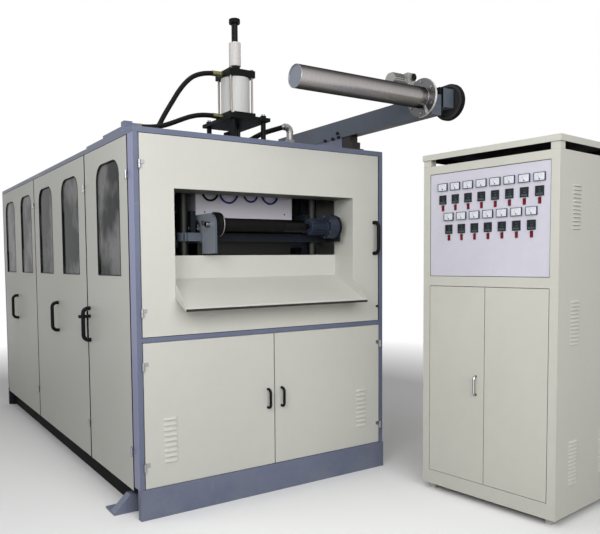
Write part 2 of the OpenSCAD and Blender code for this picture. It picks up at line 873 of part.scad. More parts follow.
module cylinder_tube() {
    color([0.86, 0.86, 0.86]) at_cylinder() difference() {
        translate([0, 0, barrel_z + seat]) cylinder(d = barrel_d, h = barrel_h - 2 * seat);
        translate([0, 0, barrel_z - 1]) cylinder(d = bore_d, h = barrel_h + 2);
    }
}

module cylinder_head(z, h) {
    difference() {
        block([-head_w / 2, -head_w / 2, z], [head_w / 2, head_w / 2, z + h]);
        translate([0, 0, z - 1]) cylinder(d = rod_d + 2 * run, h = h + 2);
        for (x = [-tie_x, tie_x]) for (y = [-tie_x, tie_x])
            translate([x, y, z - 1]) cylinder(d = tie_d + 1, h = h + 2);
    }
}

module cylinder_heads() {
    color([0.8, 0.8, 0.82]) at_cylinder() {
        cylinder_head(base_z + seat, low_head_h - seat);
        difference() {
            union() {
                cylinder_head(top_head_z, top_head_h);
                translate([0, 0, hub_z - 1]) cylinder(d = hub_d, h = hub_h + 1 - seat);
            }
            translate([0, 0, hub_z - 2]) cylinder(d = rod_d + 2 * run, h = hub_h + 3);
        }
        for (x = [-tie_x, tie_x]) for (y = [-tie_x, tie_x]) translate([x, y, 0]) {
            translate([0, 0, base_z + 8]) cylinder(d = tie_d, h = hub_z - base_z);
            translate([0, 0, hub_z + seat]) cylinder(d = 24, h = 8, $fn = 6);
        }
    }
}

module stroke_sleeve() {
    color([0.93, 0.93, 0.93]) at_cylinder() difference() {
        translate([0, 0, sleeve_z]) cylinder(d = sleeve_d, h = sleeve_h);
        translate([0, 0, sleeve_z - 1]) cylinder(d = rod_d + 1, h = sleeve_h + 2);
    }
}

// Rod with its knob, piston and the plate of forming plugs
module plug_rod() {
    color([0.3, 0.3, 0.32]) {
        at_cylinder() {
            translate([0, 0, plug_plate_z]) cylinder(d = rod_d, h = knob_z - plug_plate_z + 1);
            translate([0, 0, knob_z]) cylinder(d = 70, h = knob_h);
            translate([0, 0, top_head_z - 45]) cylinder(d = bore_d - 2 * run, h = 40);
        }
        block([-cool_w / 2 + 25, press_y - cool_l / 2 + 25, plug_plate_z],
            [cool_w / 2 - 25, press_y + cool_l / 2 - 25, plug_plate_z + 20]);
        at_cavities() translate([0, 0, plug_plate_z - plug_l]) cylinder(d = plug_d, h = plug_l + 1);
    }
}

// ---- air hoses ----

// Point at t along a smooth curve through a list of points
function on_curve(p, t) = let (
    n = len(p) - 1,
    i = min(floor(t), n - 1),
    u = t - i,
    a = p[max(i - 1, 0)], b = p[i], c = p[i + 1], d = p[min(i + 2, n)]
) 0.5 * (2 * b + (c - a) * u + (2 * a - 5 * b + 4 * c - d) * u * u + (3 * b - a - 3 * c + d) * u * u * u);

// The direction of the axis, X or Z, that lies nearest to v
function nearest_axis(v) = abs(v[0]) > abs(v[2]) ? [sign(v[0]), 0, 0] : [0, 0, sign(v[2])];

// A round tube of one solid swept along a route that lies close to an X-Z plane; its ends are square
module swept_tube(route, d, per_span) {
    sides = 12;
    n = (len(route) - 1) * per_span;
    spots = [for (k = [0:n]) on_curve(route, k / per_span)];
    heads = [for (k = [0:n]) let (v = spots[min(k + 1, n)] - spots[max(k - 1, 0)])
        k == 0 || k == n ? nearest_axis(v) : v / norm(v)];
    rings = [for (k = [0:n]) for (s = [0:sides - 1]) let (turn = s * 360 / sides)
        spots[k] + d / 2 * (cos(turn) * [0, 1, 0] + sin(turn) * cross(heads[k], [0, 1, 0]))];
    walls = [for (k = [0:n - 1]) for (s = [0:sides - 1]) let (
        a = k * sides + s, b = k * sides + (s + 1) % sides
    ) each [[a, b + sides, b], [a, a + sides, b + sides]]];
    first = [for (s = [1:sides - 2]) [0, s, s + 1]];
    last = [for (s = [1:sides - 2]) [n * sides, n * sides + s + 1, n * sides + s]];
    polyhedron(rings, concat(walls, first, last));
}

module air_hoses() {
    color(dark) at_cylinder() translate([0, 0, frame_h]) {
        swept_tube(upper_hose, hose_d, 2);
        swept_tube(lower_hose, hose_d, 2);
        swept_tube(right_hose, hose_d, 2);
    }
}

module air_fittings() {
    port_l = -upper_hose[0][0] - head_w / 2 - 2 * seat;
    up_end = upper_hose[len(upper_hose) - 1];
    low_end = lower_hose[len(lower_hose) - 1];
    right_start = right_hose[0];
    right_end = right_hose[len(right_hose) - 1];
    bend_x = elbow_out - elbow_r;
    color([0.72, 0.74, 0.6]) at_cylinder() translate([0, 0, frame_h]) {
        for (port = [upper_hose[0], lower_hose[0]])
            translate([port[0] + seat, 0, port[2]]) rotate([0, 90, 0]) cylinder(d = 30, h = port_l);
        // foot of the upper hose
        translate([up_end[0], up_end[1], 0]) {
            cylinder(d = 34, h = up_end[2] - seat);
            cylinder(d = 50, h = 14, $fn = 6);
        }
        // block at the end of the lower hose
        translate([low_end[0] - 40, low_end[1], low_end[2]]) rotate([0, 90, 0])
            cylinder(d = 34, h = 40 - seat);
        block([low_end[0] - 90, low_end[1] - 25, 28], [low_end[0] - 39, low_end[1] + 25, low_end[2] + 20]);
        // blocks on either side of the rod, under the base plate
        block([rod_d / 2 + 5, -25, 0], [right_start[0] - seat, 25, right_start[2] + 25]);
        block([-64, -34, 0], [-rod_d / 2 - 5, 26, 122]);
        translate([-88, -4, 104]) rotate([0, 90, 0]) cylinder(d = 20, h = 25);
        // elbow on the roof
        translate([right_end[0] + seat, 0, right_end[2]]) rotate([0, 90, 0])
            cylinder(d = elbow_d - 2, h = bend_x - right_end[0] + 3);
        translate([bend_x, 0, right_end[2] - elbow_r]) rotate([90, 0, 0]) rotate_extrude(angle = 90)
            translate([elbow_r, 0]) circle(d = elbow_d);
        translate([elbow_out, 0, 0]) cylinder(d = elbow_d - 2, h = right_end[2] - elbow_r + 3);
        translate([elbow_out, 0, 90]) cylinder(d = 66, h = 22, $fn = 6);
    }
}

// ---- scrap winder ----

module winder_arm() {
    saddle_y = front + 322;
    low = frame_h;
    color(steel_blue) difference() {
        union() {
            block([arm_x, winder_y - 60, arm_z], [right, front + 1106, arm_z + arm_h]);
            block([arm_x + 4, saddle_y, low], [right - 4, front + 893, arm_z + 1]);
            // stepped mount in front of the saddle
            translate([arm_x + 6, 0, 0]) rotate([90, 0, 90]) linear_extrude(arm_w - 12) polygon([
                [saddle_y + 1, low], [saddle_y - 188, low], [saddle_y - 188, low + 12],
                [saddle_y - 145, low + 12], [saddle_y - 145, low + 45], [saddle_y - 110, low + 45],
                [saddle_y - 110, low + 95], [saddle_y - 82, low + 95], [saddle_y - 82, arm_z + 1],
                [saddle_y + 1, arm_z + 1]
            ]);
            // bolts through the arm
            for (spot = [[362, 36], [500, 6], [414, 6], [349, 6]])
                translate([arm_x - 12, front + spot[0], arm_z + spot[1]]) rotate([0, 90, 0])
                    cylinder(d = 22, h = 13, $fn = 6);
        }
        bar_x(winder_shaft_d + 2 * run, arm_x - 1, right + 1, winder_y, winder_z);
    }
    // bearing housing and gearbox outside the arm
    color(dark) difference() {
        union() {
            block([right + seat, winder_y - 48, winder_z - 66], [right + 23, winder_y + 48, winder_z + 66]);
            block([right + 22, winder_y - 56, winder_z - 49], [right + 110, winder_y + 56, winder_z + 62]);
        }
        bar_x(winder_shaft_d + 2 * run, right - 1, right + 111, winder_y, winder_z);
    }
}

// Steel roller with its flange disc, and the belt wheel on the same shaft
module winder_roller() {
    end = arm_x - 24;
    color(bright) {
        difference() {
            bar_x(winder_d, end - winder_l, end + 1, winder_y, winder_z);
            bar_x(winder_d - 12, end - winder_l - 1, end - winder_l + 4, winder_y, winder_z);
        }
        bar_x(flange_d, end, end + flange_t, winder_y, winder_z);
        bar_x(winder_shaft_d, end + flange_t - 1, wheel_x + wheel_w + 12, winder_y, winder_z);
        difference() {
            bar_x(wheel_d, wheel_x, wheel_x + wheel_w, winder_y, winder_z);
            bar_x(wheel_d - 30, wheel_x - 1, wheel_x + 12, winder_y, winder_z);
        }
        bar_x(70, wheel_x - 6, wheel_x + 13, winder_y, winder_z);
    }
}

module winder_pinion() {
    color(dark) {
        bar_x(pinion_shaft_d, right - 60, wheel_x + wheel_w, pinion_y, pinion_z);
        bar_x(pinion_d, wheel_x, wheel_x + wheel_w - 2, pinion_y, pinion_z);
    }
}

module winder_motor() {
    x0 = right - 74;
    color([0.7, 0.7, 0.7]) difference() {
        union() {
            block([x0, pinion_y - 50, arm_z + arm_h + seat], [right - 5, pinion_y + 50, motor_z + 43]);
            bar_x(76, x0 - 102, x0 + 1, pinion_y, motor_z);
            bar_x(84, x0 - 12, x0 + 1, pinion_y, motor_z);
            translate([right - 28, pinion_y - 49, motor_z + 19]) rotate([90, 0, 0]) cylinder(d = 44, h = 9);
        }
        bar_x(pinion_shaft_d + 2 * run, right - 62, right, pinion_y, pinion_z);
    }
}

// Flat belt round two wheels: an outer loop less an inner one
module belt_loop(grow) {
    big = [winder_y, winder_z];
    small = [pinion_y, pinion_z];
    span = norm(small - big);
    big_r = wheel_d / 2 + seat + grow;
    small_r = pinion_d / 2 + seat + grow;
    aim = atan2(small[1] - big[1], small[0] - big[0]);
    lean = acos((big_r - small_r) / span);
    union() {
        translate(big) circle(r = big_r, $fn = 96);
        translate(small) circle(r = small_r);
        polygon([for (side = [-1, 1]) each let (a = aim + side * lean, u = [cos(a), sin(a)])
            side < 0 ? [big + big_r * u, small + small_r * u] : [small + small_r * u, big + big_r * u]]);
    }
}

module winder_belt() {
    color(dark) translate([wheel_x + 8, 0, 0]) rotate([90, 0, 90]) linear_extrude(22) difference() {
        belt_loop(belt_t);
        belt_loop(0);
    }
}

// ---- control cabinet, drawn with its front middle at the origin and its front towards -Y ----

module at_cabinet() {
    translate([cab_x, cab_y, 0]) rotate([0, 0, cab_turn]) children();
}

module cabinet_shell() {
    half = cab_w / 2;
    color(cream) at_cabinet() {
        difference() {
            block([-half, 0, cab_foot], [half, cab_d, cab_h]);
            block([cab_t - half, 25, cab_foot + cab_t], [half - cab_t, cab_d - cab_t, cab_h - cab_t]);
            block([-cab_in, -1, panel_low], [cab_in, 26, panel_top]);
            block([-cab_in, -1, leaf_low], [cab_in, 26, leaf_top]);
        }
        // rebates behind the instrument panel and the doors
        for (side = [-1, 1]) scale([side, 1, 1])
            block([cab_in - 12, 8 + seat, panel_low - 10], [cab_in + 1, 14, panel_top + 10]);
        // hinge pivots of the doors, top and bottom
        for (side = [-1, 1]) translate([side * (cab_in - pivot_in), 8, 0]) {
            translate([0, 0, leaf_low - 1]) cylinder(d = pivot_d, h = 14);
            translate([0, 0, leaf_top - 13]) cylinder(d = pivot_d, h = 14);
        }
        for (x = [-half + 30, half - 70]) for (y = [30, cab_d - 70])
            hull() {
                translate([x, y, cab_foot]) cube([40, 40, 1]);
                translate([x + 6, y + 6, 0]) cube([28, 28, 1]);
            }
        for (side = [-1, 1]) scale([side, 1, 1])
            for (y = [135, cab_d - 135 - cab_louvre_w]) for (z = [cab_h - 166, 1168, 430])
                for (i = [0:11]) translate([half, y, z - i * cab_louvre_pitch])
                    rotate([0, 0, 90]) louvre(cab_louvre_w, 10, 6);
    }
}

module cabinet_cap() {
    half = cab_w / 2 + cap_over;
    top = cab_h + cap_gap;
    color(cream) at_cabinet() {
        difference() {
            block([-half, -cap_over, top], [half, cab_d + cap_over, top + cap_h]);
            block(
                [cab_t - half, cab_t - cap_over, top - 1],
                [half - cab_t, cab_d + cap_over - cab_t, top + cap_h - cab_t]
            );
        }
        for (side = [-1, 1]) scale([side, 1, 1]) for (y = [0, cab_d - 49])
            block([cab_w / 2 - 49, y, cab_h + seat], [cab_w / 2, y + 49, top + cap_h - 1]);
    }
}

// Places of the instruments: count along a row, row number
function dial_x(row, i) = (i - (rows[row] - 1) / 2) * dial_pitch + 14;
rocker_spots = [for (row = [0, 1]) for (i = [0:rows[row] - 1]) [dial_x(row, i), row_top[row] - 120]];

module instrument_panel() {
    color([0.82, 0.81, 0.87]) at_cabinet() difference() {
        block([-cab_in + 1, 4, panel_low + 1], [cab_in - 1, 8, panel_top - 1]);
        for (spot = rocker_spots)
            translate([spot[0], 10, spot[1]]) cube([rocker_w + 2 * seat, 30, rocker_h + 8], center = true);
    }
}

module panel_meters() {
    color([0.2, 0.2, 0.35]) at_cabinet() for (row = [0, 1]) for (i = [0:rows[row] - 1])
        block([dial_x(row, i) - dial_w / 2, -6, row_top[row] - dial_h / 2],
            [dial_x(row, i) + dial_w / 2, 4 - seat, row_top[row] + dial_h / 2]);
}

module temperature_controllers() {
    color(dark) at_cabinet() for (row = [0, 1]) for (i = [0:rows[row] - 1])
        block([dial_x(row, i) - gauge_w / 2, -2, row_top[row] - 72 - gauge_h / 2],
            [dial_x(row, i) + gauge_w / 2, 4 - seat, row_top[row] - 72 + gauge_h / 2]);
}

module contactor_plate() {
    z0 = leaf_low + 120;
    color([0.75, 0.75, 0.75]) at_cabinet() {
        block([-cab_in, cab_d - cab_t - 12, z0], [cab_in, cab_d - cab_t - seat, leaf_top - 60]);
        for (z = [z0 + 60, z0 + 300, z0 + 540]) for (x = [-3:3])
            block([x * 90 - 32, cab_d - cab_t - 100, z], [x * 90 + 32, cab_d - cab_t - 11, z + 90]);
    }
}

// A cabinet door, drawn on the left; the handle is on the left one only
module cabinet_door(with_handle) {
    low = leaf_low + seat + 3;
    high = leaf_top - seat - 3;
    color(cream) difference() {
        block([4 - cab_in, 0, low], [-2, leaf_t, high]);
        for (z = [low - 1, high - 12])
            translate([pivot_in - cab_in, 8, z]) cylinder(d = pivot_d + 2 * run, h = 13);
    }
    if (with_handle) color(bright) translate([-50, 0, (leaf_low + leaf_top) / 2]) c_handle(116, 28, 10);
}

module cabinet_door_left() {
    at_cabinet() cabinet_door(true);
}

module cabinet_door_right() {
    at_cabinet() mirror([1, 0, 0]) cabinet_door(false);
}

// One red rocker, tilted about its pivot behind the panel's face
module heater_switch(number) {
    spot = rocker_spots[number - 1];
    color([0.75, 0.05, 0.08]) at_cabinet() translate([spot[0] - rocker_w / 2, 8, spot[1]])
        rotate([rocker_tilt, 0, 0]) rotate([90, 0, 90]) linear_extrude(rocker_w) polygon([
            [-10, rocker_h / 2], [-6.5, 0], [-10, -rocker_h / 2], [5, -rocker_h / 2], [5, rocker_h / 2]
        ]);
}

base_frame();
upper_frame();
roof_panel();
fixed_panels();
hinge_pins();
press_columns();
upper_platen();
cooling_box();
water_hoses();
lift_cylinder();
heater_banks();
chain_rails();
chain_motor();
roller_bracket();
roller_motor();
cylinder_plate();
cylinder_tube();
cylinder_heads();
stroke_sleeve();
air_hoses();
air_fittings();
winder_arm();
winder_motor();
winder_belt();
front_door();
lower_door_left();
lower_door_right();
side_door_front();
side_door_middle();
side_door_rear();
lower_platen();
plug_rod();
pull_roller();
winder_roller();
winder_pinion();
chain_shaft_front();
chain_shaft_rear();
cabinet_shell();
cabinet_cap();
instrument_panel();
panel_meters();
temperature_controllers();
contactor_plate();
cabinet_door_left();
cabinet_door_right();
heater_switch(1);  // heater_switch_1
heater_switch(2);  // heater_switch_2
heater_switch(3);  // heater_switch_3
heater_switch(4);  // heater_switch_4
heater_switch(5);  // heater_switch_5
heater_switch(6);  // heater_switch_6
heater_switch(7);  // heater_switch_7
heater_switch(8);  // heater_switch_8
heater_switch(9);  // heater_switch_9
heater_switch(10);  // heater_switch_10
heater_switch(11);  // heater_switch_11
heater_switch(12);  // heater_switch_12
heater_switch(13);  // heater_switch_13
heater_switch(14);  // heater_switch_14
heater_switch(15);  // heater_switch_15
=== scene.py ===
import json
import math
import bpy
import bmesh
from mathutils import Matrix, Vector


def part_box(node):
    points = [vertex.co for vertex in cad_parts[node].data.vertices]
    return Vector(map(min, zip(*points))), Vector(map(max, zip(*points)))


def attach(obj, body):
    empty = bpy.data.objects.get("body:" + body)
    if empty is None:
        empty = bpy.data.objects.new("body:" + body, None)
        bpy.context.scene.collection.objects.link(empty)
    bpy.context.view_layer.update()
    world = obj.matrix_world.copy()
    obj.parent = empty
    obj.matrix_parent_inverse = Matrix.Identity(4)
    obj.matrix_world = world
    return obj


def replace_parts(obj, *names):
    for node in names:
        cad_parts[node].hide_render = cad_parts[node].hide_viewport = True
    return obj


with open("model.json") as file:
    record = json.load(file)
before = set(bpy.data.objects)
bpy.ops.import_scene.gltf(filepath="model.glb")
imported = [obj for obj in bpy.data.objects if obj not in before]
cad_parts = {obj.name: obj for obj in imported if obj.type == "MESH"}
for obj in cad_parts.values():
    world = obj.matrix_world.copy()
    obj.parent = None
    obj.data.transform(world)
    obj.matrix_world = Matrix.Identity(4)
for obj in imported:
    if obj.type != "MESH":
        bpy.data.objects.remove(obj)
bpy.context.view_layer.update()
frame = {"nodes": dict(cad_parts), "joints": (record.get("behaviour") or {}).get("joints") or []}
nodes = frame["nodes"]
joints = {j["name"]: j for j in frame["joints"]}
scene = bpy.context.scene
mm = 0.001

# faces of the machine that the pieces below are placed from
frameLow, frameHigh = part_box("upper_frame")
leftX, frontY = frameLow[0], frameLow[1]
rightX = frameHigh[0]
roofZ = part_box("fixed_panels")[1][2] + 33 * mm
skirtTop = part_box("base_frame")[1][2]
pressY = sum(corner[1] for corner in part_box("press_columns")) / 2
cylinderX = sum(corner[0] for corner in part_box("stroke_sleeve")) / 2
print("frame loaded:", len(nodes), "nodes")


# small helpers for node trees
def addNode(tree, kind, values=None, **settings):
    made = tree.nodes.new(kind)
    for key, value in settings.items():
        setattr(made, key, value)
    for key, value in (values or {}).items():
        if isinstance(value, bpy.types.NodeSocket):
            tree.links.new(value, made.inputs[key])
        else:
            made.inputs[key].default_value = value
    return made


def startGroup(name, kind, inputs, outputs):
    tree = bpy.data.node_groups.new(name, kind)
    for label, socketType, default in inputs:
        socket = tree.interface.new_socket(label, in_out="INPUT", socket_type="NodeSocket" + socketType)
        if default is not None:
            socket.default_value = default
    for label, socketType in outputs:
        tree.interface.new_socket(label, in_out="OUTPUT", socket_type="NodeSocket" + socketType)
    return tree, tree.nodes.new("NodeGroupInput").outputs, tree.nodes.new("NodeGroupOutput").inputs


def endGroup(tree, out, results):
    for label, socket in results.items():
        tree.links.new(socket, out[label])
    return tree


def maths(tree, operation, a, b=0.0, clamp=False):
    return addNode(tree, "ShaderNodeMath", {0: a, 1: b}, operation=operation, use_clamp=clamp).outputs[0]


def noise(tree, vector, scale, detail, rough=0.55):
    values = {"Vector": vector, "Scale": scale, "Detail": detail, "Roughness": rough}
    return addNode(tree, "ShaderNodeTexNoise", values).outputs["Fac"]


def spread(tree, value, low, high, toLow=0.0, toHigh=1.0):
    values = {"Value": value, "From Min": low, "From Max": high, "To Min": toLow, "To Max": toHigh}
    return addNode(tree, "ShaderNodeMapRange", values).outputs["Result"]


def mixColour(tree, factor, a, b, blend="MIX"):
    values = {0: factor, 6: a, 7: b}
    return addNode(tree, "ShaderNodeMix", values, data_type="RGBA", blend_type=blend).outputs[2]


def mixVector(tree, operation, a, b):
    second = "Scale" if operation == "SCALE" else 1
    return addNode(tree, "ShaderNodeVectorMath", {0: a, second: b}, operation=operation).outputs[0]


# shader groups shared by the finishes: each takes a place and a colour and gives a colour and more
def startShaderGroup(name, inputs, outputs):
    common = [("Vector", "Vector", None), ("Color", "Color", (0.8, 0.8, 0.8, 1))]
    outputs = [("Color", "Color")] + [(label, "Float") for label in outputs]
    return startGroup(name, "ShaderNodeTree", common + inputs, outputs)


def buildTone():
    # slow drift of the colour, and the fine skin of sprayed or moulded surfaces
    tree, given, out = startShaderGroup("surfaceTone", [
        ("Drift", "Float", 0.04), ("Patch Scale", "Float", 2.0), ("Skin Scale", "Float", 260.0),
    ], ["Height", "Gloss Shift"])
    slow = noise(tree, given["Vector"], given["Patch Scale"], 4.0)
    middle = noise(tree, given["Vector"], maths(tree, "MULTIPLY", given["Patch Scale"], 9.0), 3.0)
    both = maths(tree, "ADD", maths(tree, "MULTIPLY", slow, 0.7), maths(tree, "MULTIPLY", middle, 0.3))
    low = maths(tree, "SUBTRACT", 1.0, given["Drift"])
    high = maths(tree, "ADD", 1.0, given["Drift"])
    shade = spread(tree, both, 0.32, 0.68, low, high)
    return endGroup(tree, out, {
        "Color": mixColour(tree, 1.0, given["Color"], shade, "MULTIPLY"),
        "Height": noise(tree, given["Vector"], given["Skin Scale"], 2.0),
        "Gloss Shift": spread(tree, both, 0.35, 0.65, -0.06, 0.06)})


def buildDust():
    # dust that thickens towards the floor and lies in soft patches
    tree, given, out = startShaderGroup("dustFilm", [
        ("Dust", "Color", (0.45, 0.42, 0.38, 1)), ("Amount", "Float", 0.2), ("Fade Height", "Float", 0.5),
    ], ["Mask"])
    height = addNode(tree, "ShaderNodeSeparateXYZ", {0: given["Vector"]}).outputs["Z"]
    low = spread(tree, height, 0.0, given["Fade Height"], 1.0, 0.12)
    patches = spread(tree, noise(tree, given["Vector"], 5.0, 6.0, 0.65), 0.36, 0.72)
    mask = maths(tree, "MULTIPLY", maths(tree, "MULTIPLY", low, patches), given["Amount"], True)
    covered = mixColour(tree, mask, given["Color"], given["Dust"])
    return endGroup(tree, out, {"Color": covered, "Mask": mask})


def buildScuffs():
    # fine scratches in two directions, broken up by patches
    tree, given, out = startShaderGroup("scuffMarks", [
        ("Bare", "Color", (0.4, 0.4, 0.42, 1)), ("Amount", "Float", 0.2), ("Scale", "Float", 14.0),
    ], ["Mask"])
    masks = []
    for stretch in ((1.0, 1.0, 0.06), (0.07, 0.07, 1.0)):
        along = mixVector(tree, "MULTIPLY", given["Vector"], stretch)
        lines = noise(tree, mixVector(tree, "SCALE", along, given["Scale"]), 4.0, 2.0)
        masks.append(spread(tree, lines, 0.66, 0.72))
    patches = spread(tree, noise(tree, given["Vector"], 3.1, 3.0), 0.5, 0.66)
    lines = maths(tree, "MAXIMUM", *masks)
    mask = maths(tree, "MULTIPLY", maths(tree, "MULTIPLY", lines, patches), given["Amount"], True)
    scratched = mixColour(tree, mask, given["Color"], given["Bare"])
    return endGroup(tree, out, {"Color": scratched, "Mask": mask})


def buildBrush():
    # turning or brushing lines: fine across Stretch's large axes, long along its small ones
    tree, given, out = startShaderGroup("brushLines", [
        ("Stretch", "Vector", (1.0, 1.0, 1.0)), ("Contrast", "Float", 0.12), ("Scale", "Float", 60.0),
    ], ["Height", "Roughness"])
    along = mixVector(tree, "MULTIPLY", given["Vector"], given["Stretch"])
    lines = noise(tree, mixVector(tree, "SCALE", along, given["Scale"]), 6.0, 5.0, 0.7)
    stains = noise(tree, given["Vector"], 7.0, 4.0)
    low = maths(tree, "SUBTRACT", 1.0, given["Contrast"])
    high = maths(tree, "ADD", 1.0, given["Contrast"])
    lined = mixColour(tree, 1.0, given["Color"], spread(tree, lines, 0.3, 0.7, low, high), "MULTIPLY")
    return endGroup(tree, out, {
        "Color": mixColour(tree, 1.0, lined, spread(tree, stains, 0.3, 0.75, 1.0, low), "MULTIPLY"),
        "Height": lines,
        "Roughness": spread(tree, lines, 0.3, 0.7, -0.06, 0.08)})


toneGroup = buildTone()
dustGroup = buildDust()
scuffGroup = buildScuffs()
brushGroup = buildBrush()


# materials
def startMaterial(name, principled):
    material = bpy.data.materials.new(name)
    material.use_nodes = True
    tree = material.node_tree
    shader = tree.nodes["Principled BSDF"]
    for key, value in principled.items():
        shader.inputs[key].default_value = value
    return material, tree, shader, addNode(tree, "ShaderNodeTexCoord").outputs["Object"]


def useGroup(tree, group, values):
    return addNode(tree, "ShaderNodeGroup", values, node_tree=group).outputs


def endMaterial(tree, shader, colour, roughness, height, depth):
    bump = addNode(tree, "ShaderNodeBump", {"Height": height, "Strength": 0.5, "Distance": depth})
    normal = bump.outputs["Normal"]
    for key, socket in (("Base Color", colour), ("Roughness", roughness), ("Normal", normal)):
        tree.links.new(socket, shader.inputs[key])


def coated(name, colour, rough, drift, dust, fade, scuff, shine,
           bare=(0.42, 0.42, 0.44), skin=260.0, dustColour=(0.42, 0.40, 0.37)):
    # sprayed, powder coated, moulded or rubber surfaces
    material, tree, shader, place = startMaterial(name, {"Specular IOR Level": shine})
    tone = useGroup(tree, toneGroup, {
        "Vector": place, "Color": (*colour, 1), "Drift": drift, "Skin Scale": skin})
    marks = useGroup(tree, scuffGroup, {
        "Vector": place, "Color": tone["Color"], "Bare": (*bare, 1), "Amount": scuff})
    film = useGroup(tree, dustGroup, {
        "Vector": place, "Color": marks["Color"], "Dust": (*dustColour, 1), "Amount": dust,
        "Fade Height": fade})
    dulled = maths(tree, "ADD", maths(tree, "ADD", tone["Gloss Shift"], rough),
                   maths(tree, "MULTIPLY", film["Mask"], 0.35), True)
    endMaterial(tree, shader, film["Color"], dulled, tone["Height"], 0.2 * mm)
    return material


def machined(name, colour, rough, contrast, stretch=(1.0, 1.0, 1.0), scale=60.0, dust=0.04, edge=1.0):
    # bare or plated metal with tool lines; edge is the brightness left where the surface turns away, as
    # painted shade and sheen
    tint = (edge, edge, edge, 1)
    material, tree, shader, place = startMaterial(name, {"Metallic": 1.0, "Specular Tint": tint})
    lines = useGroup(tree, brushGroup, {
        "Vector": place, "Color": (*colour, 1), "Stretch": stretch, "Contrast": contrast, "Scale": scale})
    film = useGroup(tree, dustGroup, {
        "Vector": place, "Color": lines["Color"], "Amount": dust, "Fade Height": 3.0})
    facing = addNode(tree, "ShaderNodeLayerWeight", {"Blend": 0.5}).outputs["Facing"]
    paintedEdgeShade = spread(tree, facing, 0.05, 0.50, 1.0, edge)
    dulled = maths(tree, "ADD", maths(tree, "ADD", lines["Roughness"], rough),
                   maths(tree, "MULTIPLY", film["Mask"], 0.5), True)
    endMaterial(tree, shader, mixColour(tree, 1.0, film["Color"], paintedEdgeShade, "MULTIPLY"), dulled,
                lines["Height"], 0.08 * mm)
    return material


